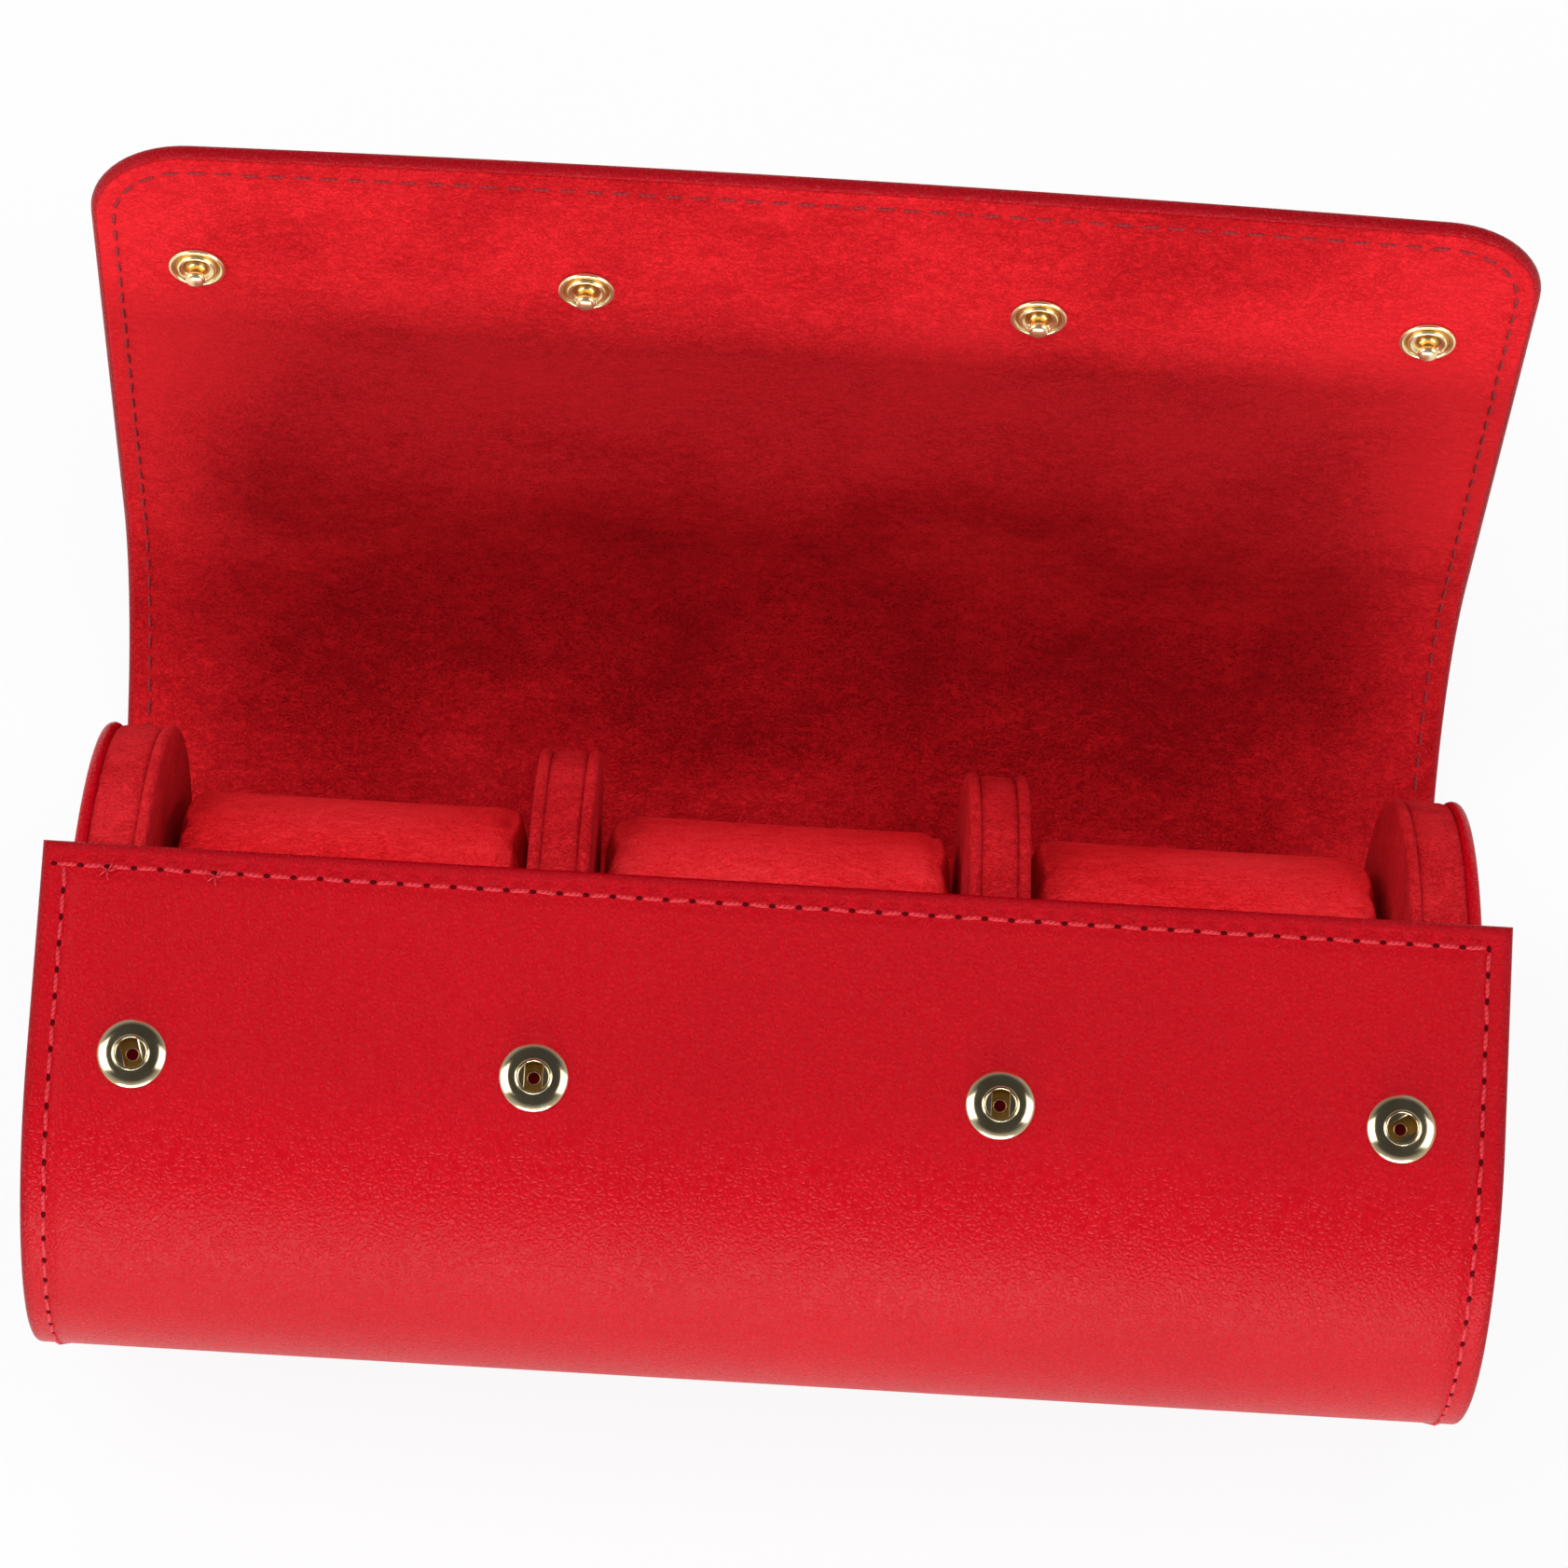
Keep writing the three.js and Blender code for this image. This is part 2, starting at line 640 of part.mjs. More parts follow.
// Stud: flange, collar, narrow neck and ball
const ball_length = stud_height - stud_neck_height;
const stud_bore = stud_flange_thickness;
const stud_profile = [
  [0, stud_bore],
  [post_radius + post_play, stud_bore],
  [post_radius + post_play, 0],
  [stud_radius, 0],
  [stud_radius, stud_flange_thickness * stud_rim_share],
  [stud_collar_radius, stud_flange_thickness],
  [stud_collar_radius, stud_collar_height],
  [stud_neck_radius, stud_collar_height],
  [stud_neck_radius, stud_neck_height],
  [stud_ball_radius, stud_neck_height + ball_length * stud_ball_shares[0]],
  [stud_ball_radius, stud_neck_height + ball_length * stud_ball_shares[1]],
  [stud_neck_radius, stud_height],
  [0, stud_height],
];

// Cap: a dome on the leather side whose shank goes through the tip into the stud
const cap_base = -sheet_thickness - cap_seat;
const cap_profile = [
  ...cap_shares.map(([across, down]) => [cap_radius * across, cap_base - cap_height * down]),
  [cap_radius, cap_base],
  [post_radius, cap_base],
  [post_radius, stud_bore - post_play],
  [0, stud_bore - post_play],
];

snap_places.forEach((x, index) => {
  const count = index + 1;
  const socket = place(panel_frame, `snap_socket_${count}`, turned(socket_profile, snap_facets), pale_gold);
  socket.position.set(x, 0, sheet_thickness);
  const spring = place(panel_frame, `snap_spring_${count}`, spring_geometry, spring_steel);
  spring.position.set(x, 0, sheet_thickness + groove_low + spring_play);
  spring.rotation.z = radians(spring_clocks[index]);
  const post = place(panel_frame, `snap_post_${count}`, turned(post_profile, snap_facets), pale_gold);
  post.position.set(x, 0, sheet_thickness);
  const stud = place(tip_frame, `snap_stud_${count}`, turned(stud_profile, snap_facets), pale_gold);
  stud.position.set(x, stud_place, 0);
  const cap = place(tip_frame, `snap_cap_${count}`, turned(cap_profile, snap_facets), pale_gold);
  cap.position.set(x, stud_place, 0);
});

export default roll;
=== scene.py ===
import math

import bmesh
import bpy
from mathutils import Matrix, Vector


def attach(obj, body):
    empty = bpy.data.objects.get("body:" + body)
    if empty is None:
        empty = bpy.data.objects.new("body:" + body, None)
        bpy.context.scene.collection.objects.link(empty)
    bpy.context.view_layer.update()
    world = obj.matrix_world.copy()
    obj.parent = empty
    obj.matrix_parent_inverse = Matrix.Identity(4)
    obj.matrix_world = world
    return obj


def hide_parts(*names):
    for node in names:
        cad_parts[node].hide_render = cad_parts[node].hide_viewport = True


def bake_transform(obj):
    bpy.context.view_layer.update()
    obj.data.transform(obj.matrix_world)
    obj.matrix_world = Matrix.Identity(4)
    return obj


# Watch roll: one long sheet of leather, board and velvet curls round two end discs and two
# dividers, holds three loose pillows and closes with a flap on four snaps.
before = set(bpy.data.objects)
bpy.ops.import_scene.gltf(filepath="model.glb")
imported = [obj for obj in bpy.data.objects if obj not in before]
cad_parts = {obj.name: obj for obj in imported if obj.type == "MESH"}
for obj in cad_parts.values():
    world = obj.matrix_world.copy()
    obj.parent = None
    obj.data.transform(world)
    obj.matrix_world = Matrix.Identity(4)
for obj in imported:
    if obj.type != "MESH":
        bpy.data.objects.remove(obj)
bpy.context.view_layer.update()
MM = 0.001


# Camera
# The photograph is taken from steeply above the front, with a long lens and a small roll.
view_target = Vector((0, 15.0, 55)) * MM
view_height = math.radians(71.262)
view_turn = math.radians(-1.3254)
view_roll = math.radians(4.6761)
view_shift = Vector((1.293, 19.1058)) * MM
view_distance = 819.305 * MM
photo_focal_pixels = 6000
photo_width_pixels = 1682
sensor_width = 36
near_limit = 10 * MM

toward_camera = Vector((
    math.sin(view_turn) * math.cos(view_height),
    -math.cos(view_turn) * math.cos(view_height),
    math.sin(view_height),
))
level_right = Vector((math.cos(view_turn), math.sin(view_turn), 0))
level_up = toward_camera.cross(level_right)
image_right = math.cos(view_roll) * level_right + math.sin(view_roll) * level_up
image_up = math.cos(view_roll) * level_up - math.sin(view_roll) * level_right
eye = view_target + view_shift.x * image_right + view_shift.y * image_up + view_distance * toward_camera
camera_data = bpy.data.cameras.new("photo_camera")
camera_data.lens = photo_focal_pixels / photo_width_pixels * sensor_width
camera_data.sensor_width = sensor_width
camera_data.clip_start = near_limit
camera = bpy.data.objects.new("photo_camera", camera_data)
bpy.context.collection.objects.link(camera)
turn = Matrix((image_right, image_up, toward_camera)).transposed()
camera.matrix_world = Matrix.Translation(eye) @ turn.to_4x4()
bpy.context.scene.camera = camera


# Path of the wrap and the flap
# The cut sheet is 345 mm long. It is curled along the same path as the part's solids: from the
# front edge over the bulge and under the discs to the fold line, then along foot, back and tip.
disc_radius = 44 * MM
disc_fit = 0.3 * MM
wrap_radius = disc_radius + disc_fit
roll_width = 205 * MM
half_width = roll_width / 2
sheet_thickness = 2.5 * MM
base_flat = 0.2273 * disc_radius
under_turn = 76
panel_tilt = 9
bulge_radius = 0.7898 * disc_radius
bulge_turn = 180 - under_turn - panel_tilt
bulge_start = (wrap_radius - bulge_radius) * math.tan(math.radians(bulge_turn / 2))
panel_length = bulge_start + 0.4409 * disc_radius
foot_length = 0.5114 * disc_radius
back_radius = 1.1523 * disc_radius
back_turn = 77
upper_length = 33.6235 * MM
stud_place = 30.0042 * MM
tip_beyond_studs = 0.5568 * disc_radius
tip_length = stud_place + tip_beyond_studs

path = [
    (panel_length, 0),
    (bulge_radius * math.radians(bulge_turn), bulge_turn),
    (bulge_start, 0),
    (wrap_radius * math.radians(under_turn), under_turn),
    (base_flat + foot_length, 0),
    (back_radius * math.radians(back_turn), back_turn),
    (upper_length + tip_length, 0),
]
path_length = sum(length for length, turn in path)
fold_1 = sum(length for length, turn in path[:4]) + base_flat
fold_2 = fold_1 + foot_length
fold_3 = fold_2 + path[5][0]
fold_4 = fold_3 + upper_length


def walk(distance):
    """Y, Z and heading in radians after a distance along the path from its front edge."""
    y = z = 0.0
    heading = math.radians(180 + panel_tilt)
    left = distance
    for index, (length, turn) in enumerate(path):
        last = index == len(path) - 1
        used = left if last else min(left, length)
        if turn and used > 0:
            radius = length / math.radians(turn)
            after = heading + used / radius
            y += radius * (math.sin(after) - math.sin(heading))
            z -= radius * (math.cos(after) - math.cos(heading))
            heading = after
        else:
            y += used * math.cos(heading)
            z += used * math.sin(heading)
        left -= used
        if left <= 0:
            break
    return y, z, heading


fold_y, fold_z, _ = walk(fold_1)
path_shift = Vector((0, base_flat / 2 - fold_y, sheet_thickness - fold_z))


def curled(x, distance, height):
    """A point of the flat sheet, with its height above the velvet face, put on the path."""
    y, z, heading = walk(distance)
    return path_shift + Vector((x, y - height * math.sin(heading), z + height * math.cos(heading)))


def set_on_path(x, distance, height, outside):
    """Turns a fitting so that its Z leaves the sheet, on the leather side or the velvet side."""
    _, _, heading = walk(distance)
    away = Vector((0, -math.sin(heading), math.cos(heading))) * (-1 if outside else 1)
    across = Vector((1, 0, 0))
    along = away.cross(across)
    axes = Matrix((across, along, away)).transposed().to_4x4()
    return Matrix.Translation(curled(x, distance, height)) @ axes


# Leather outside of the wrap and the flap
# Bonded leather 0.9 mm thick with a fine pebble grain and a semi-gloss finish. Its edges are
# turned in over board and velvet, and top-stitched. It bends at four folds.
leather_top = -0.3 * MM
leather_round = 0.9 * MM
tip_corner_radius = 14.5 * MM
tip_bow = 1.5 * MM
seam_inset = 3.4 * MM
leather_red = "#BC0416"
leather_deep_red = "#AA0313"
grain_size = 0.75
grain_warp_size = 1.1111
pore_size = 0.3846
patch_size = 50
seam_dent_width = 2.4
seam_dent_depth = 2.2
sheet_step = 2.2 * MM
sheet_columns = 20
corner_segments = 14
edge_steps = 4
bend_reaches = [(fold_1, 8 * MM), (fold_2, 12 * MM), (fold_3, 14 * MM), (fold_4, 14 * MM)]
bend_cuts = 8
least_cut_gap = 0.6 * MM
weld_gap = 0.01 * MM


def srgb(code):
    """Linear colour of an sRGB hex value."""
    parts = [int(code[place:place + 2], 16) / 255 for place in (1, 3, 5)]
    return [part / 12.92 if part <= 0.04045 else ((part + 0.055) / 1.055) ** 2.4 for part in parts] + [1]


def add(tree, kind, sockets=None, **settings):
    """Adds a shader node. Each socket gets a value, an output, or a node's first output."""
    node = tree.nodes.new("ShaderNode" + kind)
    for name, value in settings.items():
        setattr(node, name, value)
    for name, value in (sockets or {}).items():
        if isinstance(value, bpy.types.Node):
            value = value.outputs[0]
        if isinstance(value, bpy.types.NodeSocket):
            tree.links.new(value, node.inputs[name])
        else:
            node.inputs[name].default_value = value
    return node


def link_up(end, sockets):
    """Links the last nodes of a pattern to the sockets of the node that shows them."""
    for name, node in sockets.items():
        end.id_data.links.new(node.outputs[0], end.inputs[name])


def start_material(name, sockets):
    """A named material with the plain settings of its shader."""
    material = bpy.data.materials.new(name)
    material.use_nodes = True
    shader = material.node_tree.nodes["Principled BSDF"]
    for socket, value in sockets.items():
        shader.inputs[socket].default_value = value
    return material, material.node_tree, shader


def deselect():
    if bpy.context.object and bpy.context.object.mode != "OBJECT":
        bpy.ops.object.mode_set(mode="OBJECT")
    bpy.ops.object.select_all(action="DESELECT")


def take(piece):
    """Makes one piece the only selected and active one."""
    deselect()
    piece.select_set(True)
    bpy.context.view_layer.objects.active = piece
    return piece


def apply_place():
    bpy.ops.object.transform_apply(location=True, rotation=True, scale=True)


def edit_all():
    bpy.ops.object.mode_set(mode="EDIT")
    bpy.ops.mesh.select_all(action="SELECT")


def face_outwards(piece):
    take(piece)
    edit_all()
    bpy.ops.mesh.normals_make_consistent(inside=False)
    bpy.ops.object.mode_set(mode="OBJECT")


def smooth(piece, sharp_angle):
    take(piece)
    bpy.ops.object.shade_smooth_by_angle(angle=math.radians(sharp_angle))


def copy_of(piece, name):
    other = piece.copy()
    other.data = piece.data.copy()
    other.name = other.data.name = name
    bpy.context.collection.objects.link(other)
    return other


def cut_at(plane_co, plane_no, **settings):
    """Cuts the whole mesh in edit mode."""
    bpy.ops.mesh.select_all(action="SELECT")
    bpy.ops.mesh.bisect(plane_co=plane_co, plane_no=plane_no, **settings)


def flat_sheet(name, width, start, end, corner, low, high, edge_round):
    """A flat sheet with round edges and two round corners at its far end, cut along and across."""
    deselect()
    middle = (start + end) / 2
    bpy.ops.mesh.primitive_plane_add(size=1, location=(0, middle, 0))
    piece = bpy.context.object
    piece.name = piece.data.name = name
    piece.scale = (width, end - start, 1)
    apply_place()
    bpy.ops.object.mode_set(mode="EDIT")
    bpy.ops.mesh.select_mode(type="VERT")
    bpy.ops.mesh.select_all(action="DESELECT")
    shape = bmesh.from_edit_mesh(piece.data)
    for vertex in shape.verts:
        vertex.select = vertex.co.y > middle
    shape.select_flush_mode()
    bmesh.update_edit_mesh(piece.data)
    bpy.ops.mesh.bevel(offset=corner, segments=corner_segments, affect="VERTICES")
    bpy.ops.mesh.select_all(action="SELECT")
    half = (high - low) / 2
    done_in = done_up = 0
    for step in range(1, edge_steps + 1):
        angle = math.radians(90 * step / edge_steps)
        inwards = edge_round * (1 - math.cos(angle))
        upwards = half * math.sin(angle)
        bpy.ops.mesh.inset(thickness=inwards - done_in, depth=upwards - done_up)
        done_in, done_up = inwards, upwards
    marks = [fold + reach * step / bend_cuts for fold, reach in bend_reaches
             for step in range(-bend_cuts, bend_cuts + 1)]
    rows = round((end - start) / sheet_step)
    marks += [start + (end - start) * row / rows for row in range(1, rows)]
    kept = []
    for mark in sorted(marks):
        if start + edge_round < mark < end - edge_round and (not kept or mark - kept[-1] > least_cut_gap):
            kept.append(mark)
            cut_at((0, mark, 0), (0, 1, 0))
    for column in range(1, sheet_columns):
        cut_at((width * (column / sheet_columns - 0.5), 0, 0), (1, 0, 0))
    bpy.ops.object.mode_set(mode="OBJECT")
    mirror = piece.modifiers.new("under_side", "MIRROR")
    mirror.use_axis = (False, False, True)
    mirror.merge_threshold = weld_gap
    bpy.ops.object.modifier_apply(modifier=mirror.name)
    face_outwards(piece)
    for vertex in piece.data.vertices:
        vertex.co.z += (low + high) / 2
    return piece


def bow(x, distance):
    """How far the tip leans back beyond its studs, most in the middle of its width."""
    share = (distance - fold_4 - stud_place) / tip_beyond_studs
    share = min(max(share, 0), 1)
    return -tip_bow * share * share * (3 - 2 * share) * (1 - (x / half_width) ** 2)


def curl(piece):
    """Keeps each point's flat place for the material, then puts the piece on the path."""
    mesh = piece.data
    flat = mesh.attributes.new("flat", "FLOAT_VECTOR", "POINT")
    flat.data.foreach_set("vector", [number for vertex in mesh.vertices for number in vertex.co])
    for vertex in mesh.vertices:
        x, distance, height = vertex.co
        vertex.co = curled(x, distance, height + bow(x, distance))
    mesh.update()


def stretch_of(source, name, low, high):
    """The part of a flat sheet between two marks, closed at its cuts."""
    piece = take(copy_of(source, name))
    bpy.ops.object.mode_set(mode="EDIT")
    if low:
        cut_at((0, low, 0), (0, 1, 0), use_fill=True, clear_inner=True)
    if high:
        cut_at((0, high, 0), (0, 1, 0), use_fill=True, clear_outer=True)
    bpy.ops.object.mode_set(mode="OBJECT")
    return piece


# Each stretch bends at one fold only. Its bend starts and ends inside it.
panel_end = fold_1 - 8 * MM
foot_middle = fold_1 + foot_length / 2
back_middle = fold_2 + 34 * MM
upper_middle = fold_3 + upper_length / 2
stretches = [
    ("panel", 0, panel_end, ("wrap",), None),
    ("foot", panel_end, foot_middle, ("wrap", "flap_foot"), (-4 * MM, 4 * MM, fold_1)),
    ("back", foot_middle, back_middle, ("flap_foot", "flap_back"), (-8 * MM, 10 * MM, fold_2)),
    ("upper", back_middle, upper_middle, ("flap_back", "flap_upper"), (-12 * MM, 12 * MM, fold_3)),
    ("tip", upper_middle, None, ("flap_upper", "flap_tip"), (-12 * MM, 12 * MM, fold_4)),
]


def follow(piece, bodies, bend):
    """Rides on one body; a piece across a fold stays in place in the shared frame."""
    if bend is None:
        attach(piece, bodies[0])
        return
    before, after, fold = bend
    tuple(curled(0, fold + before, 0))
    tuple(curled(0, fold + after, 0))
    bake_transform(piece)


def edge_distance(tree, flat):
    """Distance from the cut edge of the sheet in mm, round its corners too."""
    split = add(tree, "SeparateXYZ", {"Vector": flat})
    beside = add(tree, "Math", {0: split.outputs["X"]}, operation="ABSOLUTE")
    beside = add(tree, "Math", {0: beside, 1: (half_width - tip_corner_radius) / MM}, operation="SUBTRACT")
    beyond = add(tree, "Math", {0: split.outputs["Y"], 1: (path_length - tip_corner_radius) / MM},
                 operation="SUBTRACT")
    out_x = add(tree, "Math", {0: beside, 1: 0}, operation="MAXIMUM")
    out_y = add(tree, "Math", {0: beyond, 1: 0}, operation="MAXIMUM")
    corner = add(tree, "CombineXYZ", {"X": out_x, "Y": out_y})
    reach = add(tree, "VectorMath", {0: corner}, operation="LENGTH")
    inner = add(tree, "Math", {0: beside, 1: beyond}, operation="MAXIMUM")
    inner = add(tree, "Math", {0: inner, 1: 0}, operation="MINIMUM")
    signed = add(tree, "Math", {0: reach.outputs["Value"], 1: inner}, operation="ADD")
    inside = add(tree, "Math", {0: tip_corner_radius / MM, 1: signed}, operation="SUBTRACT")
    return add(tree, "Math", {0: inside, 1: split.outputs["Y"]}, operation="MINIMUM")


def flat_place(tree):
    """Place on the uncurled sheet in mm."""
    attribute = add(tree, "Attribute", attribute_name="flat")
    return add(tree, "VectorMath", {0: attribute.outputs["Vector"], "Scale": 1 / MM}, operation="SCALE")


def object_place(tree):
    """Place in the shared frame in mm."""
    coordinates = add(tree, "TexCoord")
    return add(tree, "VectorMath", {0: coordinates.outputs["Object"], "Scale": 1 / MM}, operation="SCALE")


def leather_material(name, place_of, with_seam):
    """Semi-gloss bonded leather: fine pebbles with darker valleys, a soft dent along the seam, and edges
    painted darker, partly for their shade.
    """
    material, tree, shader = start_material(name, {"IOR": 1.5, "Specular IOR Level": 0.11})
    place = place_of(tree)
    warp = add(tree, "TexNoise", {"Vector": place, "Scale": 1 / grain_warp_size})
    wavy = add(tree, "MixRGB", {"Fac": 0.25, "Color1": place, "Color2": warp.outputs["Color"]},
               blend_type="ADD")
    pebbles = add(tree, "TexVoronoi", {"Vector": wavy, "Scale": 1 / grain_size},
                  feature="DISTANCE_TO_EDGE")
    domes = add(tree, "MapRange", {"Value": pebbles, "From Max": 0.34, "To Max": 0.6},
                interpolation_type="SMOOTHERSTEP")
    pores = add(tree, "TexNoise", {"Vector": place, "Scale": 1 / pore_size, "Detail": 4, "Roughness": 0.6})
    relief = add(tree, "Math", {0: pores, 1: 0.7, 2: domes}, operation="MULTIPLY_ADD")
    patches = add(tree, "TexNoise", {"Vector": place, "Scale": 1 / patch_size, "Detail": 3})
    tone = add(tree, "MixRGB", {
        "Fac": patches, "Color1": srgb(leather_deep_red), "Color2": srgb(leather_red),
    })
    fine = add(tree, "MapRange", {"Value": relief, "From Min": 0.2, "From Max": 1,
                                  "To Min": 0.84, "To Max": 1.06})
    colour = add(tree, "VectorMath", {0: tone, "Scale": fine}, operation="SCALE")
    height = relief
    if with_seam:
        edge = edge_distance(tree, place)
        off = add(tree, "Math", {0: edge, 1: seam_inset / MM}, operation="SUBTRACT")
        off = add(tree, "Math", {0: off}, operation="ABSOLUTE")
        dent = add(tree, "MapRange", {"Value": off, "From Max": seam_dent_width,
                                      "To Min": -seam_dent_depth, "To Max": 0},
                   interpolation_type="SMOOTHERSTEP")
        height = add(tree, "Math", {0: height, 1: dent}, operation="ADD")
        # Darker along the cut edges: partly the darker turned leather, partly painted shade of the rolled
        # edge.
        edge_tone_and_shade = add(tree, "MapRange", {"Value": edge, "From Min": 0.2, "From Max": 1.6, "To Min": 0.66})
        colour = add(tree, "VectorMath", {0: colour, "Scale": edge_tone_and_shade}, operation="SCALE")
    bump = add(tree, "Bump", {"Height": height, "Strength": 0.9, "Distance": 0.16 * MM})
    shine = add(tree, "MapRange", {"Value": pores, "From Min": 0.3, "From Max": 0.7,
                                   "To Min": 0.23, "To Max": 0.37})
    link_up(shader, {"Base Color": colour, "Roughness": shine, "Normal": bump})
    return material


sheet_leather = leather_material("red_bonded_leather", flat_place, True)
flat_leather = flat_sheet("leather_cut", roll_width, 0, path_length, tip_corner_radius,
                          -sheet_thickness, leather_top, leather_round)


def cut_away(piece, tool):
    """Cuts the shape of a tool out of a piece."""
    take(piece)
    cut = piece.modifiers.new("cut", "BOOLEAN")
    cut.operation = "DIFFERENCE"
    cut.object = tool
    bpy.ops.object.modifier_apply(modifier=cut.name)
    bpy.data.objects.remove(tool)


socket_distance = 0.98 * panel_length
socket_stub_radius = 2.62 * MM
end_disc_overhang = 3 * MM
end_disc_thickness = 10.8 * MM
divider_thickness = 9.5 * MM
slot_width = (roll_width - 2 * (end_disc_overhang + end_disc_thickness + divider_thickness)) / 3
outer_snap_margin = 14.6 * MM
inner_snap_offset = 1.15 * MM
snap_outer = half_width - outer_snap_margin
snap_inner = slot_width / 2 + divider_thickness / 2 + inner_snap_offset
snap_places = [-snap_outer, -snap_inner, snap_inner, snap_outer]
# Each stretch takes the place of the leather part of the last body that it rides on.
for name, low, high, bodies, bend in stretches:
    piece = stretch_of(flat_leather, f"leather_{name}", low, high)
    if name == "panel":
        for x in snap_places:
            deselect()
            bpy.ops.mesh.primitive_cylinder_add(
                vertices=32, radius=socket_stub_radius, depth=3 * sheet_thickness,
                location=(x, socket_distance, -sheet_thickness / 2))
            punch = bpy.context.object
            apply_place()
            cut_away(piece, punch)
    curl(piece)
    smooth(piece, sharp_angle=50)
    piece.data.materials.append(sheet_leather)
    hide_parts(f"{bodies[-1]}_leather")
    follow(piece, bodies, bend)
bpy.data.objects.remove(flat_leather)


# Velvet lining of the wrap and the flap
# Short-pile polyester velvet glued over board inside the turned leather edge. Along the flap its colour is
# painted bright towards the top and at the sides, and dark across the middle. This is partly its brushed nap
# and partly painted light and painted shade.
lining_low = -0.6 * MM
lining_high = 0.12 * MM
lining_inset = 0.9 * MM
lining_edge = 0.35 * MM
# Reds from bright through middle to dark. The nap chooses between them, and on the lining painted light and
# painted shade do too.
lining_reds = ("#E2232B", "#B8121A", "#7E040A")
sheen_red = "#FF3038"
nap_size = 0.8
tuft_size = 2.5
brushed_size = 22.222
even_nap = 0.62
# Shares of the sheet's length, and how bright the lining is painted there. This is partly its nap, partly
# painted light towards the top of the flap and painted shade across its middle.
nap_and_shade_zones = [(0.55, 0.42), (0.61, 0.34), (0.645, 0.18), (0.675, 0.13), (0.7, 0.18), (0.74, 0.35),
             (0.78, 0.5), (0.825, 0.82), (0.87, 0.92), (0.915, 0.78)]
front_nap_and_shade = 0.5
tip_nap_and_shade = 0.54
side_painted_light = 0.3
side_painted_light_from = 0.7


def velvet_material(name, place_of, reds, with_nap_and_light_zones):
    """Velvet: dull, with sheen at the edges of view, short streaks of nap and brushed patches."""
    material, tree, shader = start_material(name, {
        "Roughness": 0.95, "IOR": 1.45, "Specular IOR Level": 0.08,
        "Sheen Weight": 0.22, "Sheen Roughness": 0.3, "Sheen Tint": srgb(sheen_red),
    })
    place = place_of(tree)
    stretch = add(tree, "Mapping", {"Vector": place, "Scale": (0.7, 1, 1)})
    nap = add(tree, "TexNoise", {"Vector": stretch, "Scale": 1 / nap_size, "Detail": 3, "Roughness": 0.55,
                                 "Distortion": 1.8})
    curls = add(tree, "Math", {0: nap, 1: 2, 2: -1}, operation="MULTIPLY_ADD")
    curls = add(tree, "Math", {0: curls}, operation="ABSOLUTE")
    curls = add(tree, "MapRange", {"Value": curls, "From Max": 0.3, "To Min": 1, "To Max": 0},
                interpolation_type="SMOOTHSTEP")
    tufts = add(tree, "TexNoise", {"Vector": stretch, "Scale": 1 / tuft_size, "Detail": 3, "Roughness": 0.6,
                                   "Distortion": 0.8})
    brushed = add(tree, "TexNoise", {"Vector": stretch, "Scale": 1 / brushed_size, "Distortion": 0.4})
    fine = add(tree, "Math", {0: curls, 1: 0.4, 2: -0.2}, operation="MULTIPLY_ADD")
    middle = add(tree, "Math", {0: tufts, 1: 0.5, 2: -0.25}, operation="MULTIPLY_ADD")
    both = add(tree, "Math", {0: fine, 1: middle}, operation="ADD")
    patch = add(tree, "Math", {0: brushed, 1: 0.9, 2: -0.45}, operation="MULTIPLY_ADD")
    level = add(tree, "Math", {0: both, 1: patch}, operation="ADD")
    # Along the sheet and towards its sides the level is raised and lowered: partly nap, partly painted light
    # and painted shade.
    if with_nap_and_light_zones:
        split = add(tree, "SeparateXYZ", {"Vector": place})
        along = add(tree, "Math", {0: split.outputs["Y"], 1: path_length / MM}, operation="DIVIDE")
        nap_and_shade_ramp = add(tree, "ValToRGB", {"Fac": along})
        stops = nap_and_shade_ramp.color_ramp.elements
        stops[0].color = (front_nap_and_shade, front_nap_and_shade, front_nap_and_shade, 1)
        stops[1].color = (tip_nap_and_shade, tip_nap_and_shade, tip_nap_and_shade, 1)
        for position, lean in nap_and_shade_zones:
            stops.new(position).color = (lean, lean, lean, 1)
        level = add(tree, "Math", {0: level, 1: nap_and_shade_ramp}, operation="ADD")
        beside = add(tree, "Math", {0: split.outputs["X"]}, operation="ABSOLUTE")
        beside = add(tree, "MapRange", {"Value": beside, "From Min": side_painted_light_from * half_width / MM,
                                        "From Max": half_width / MM, "To Max": side_painted_light},
                     interpolation_type="SMOOTHSTEP")
        level = add(tree, "Math", {0: level, 1: beside}, operation="ADD")
    else:
        level = add(tree, "Math", {0: level, 1: even_nap}, operation="ADD")
    tone = add(tree, "ValToRGB", {"Fac": level})
    stops = tone.color_ramp.elements
    stops[0].color = srgb(reds[2])
    stops[1].color = srgb(reds[0])
    stops.new(0.5).color = srgb(reds[1])
    relief = add(tree, "Math", {0: curls, 1: 0.35, 2: tufts}, operation="MULTIPLY_ADD")
    bump = add(tree, "Bump", {"Height": relief, "Strength": 0.8, "Distance": 0.5 * MM})
    link_up(shader, {"Base Color": tone, "Normal": bump})
    return material


lining_velvet = velvet_material("red_velvet_lining", flat_place, lining_reds, True)
flat_lining = flat_sheet("lining_cut", roll_width - 2 * lining_inset, lining_inset,
                         path_length - lining_inset, tip_corner_radius - lining_inset,
                         lining_low, lining_high, lining_edge)
for name, low, high, bodies, bend in stretches:
    piece = stretch_of(flat_lining, f"lining_{name}", low, high)
    curl(piece)
    smooth(piece, sharp_angle=60)
    piece.data.materials.append(lining_velvet)
    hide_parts(f"{bodies[-1]}_lining")
    follow(piece, bodies, bend)
bpy.data.objects.remove(flat_lining)


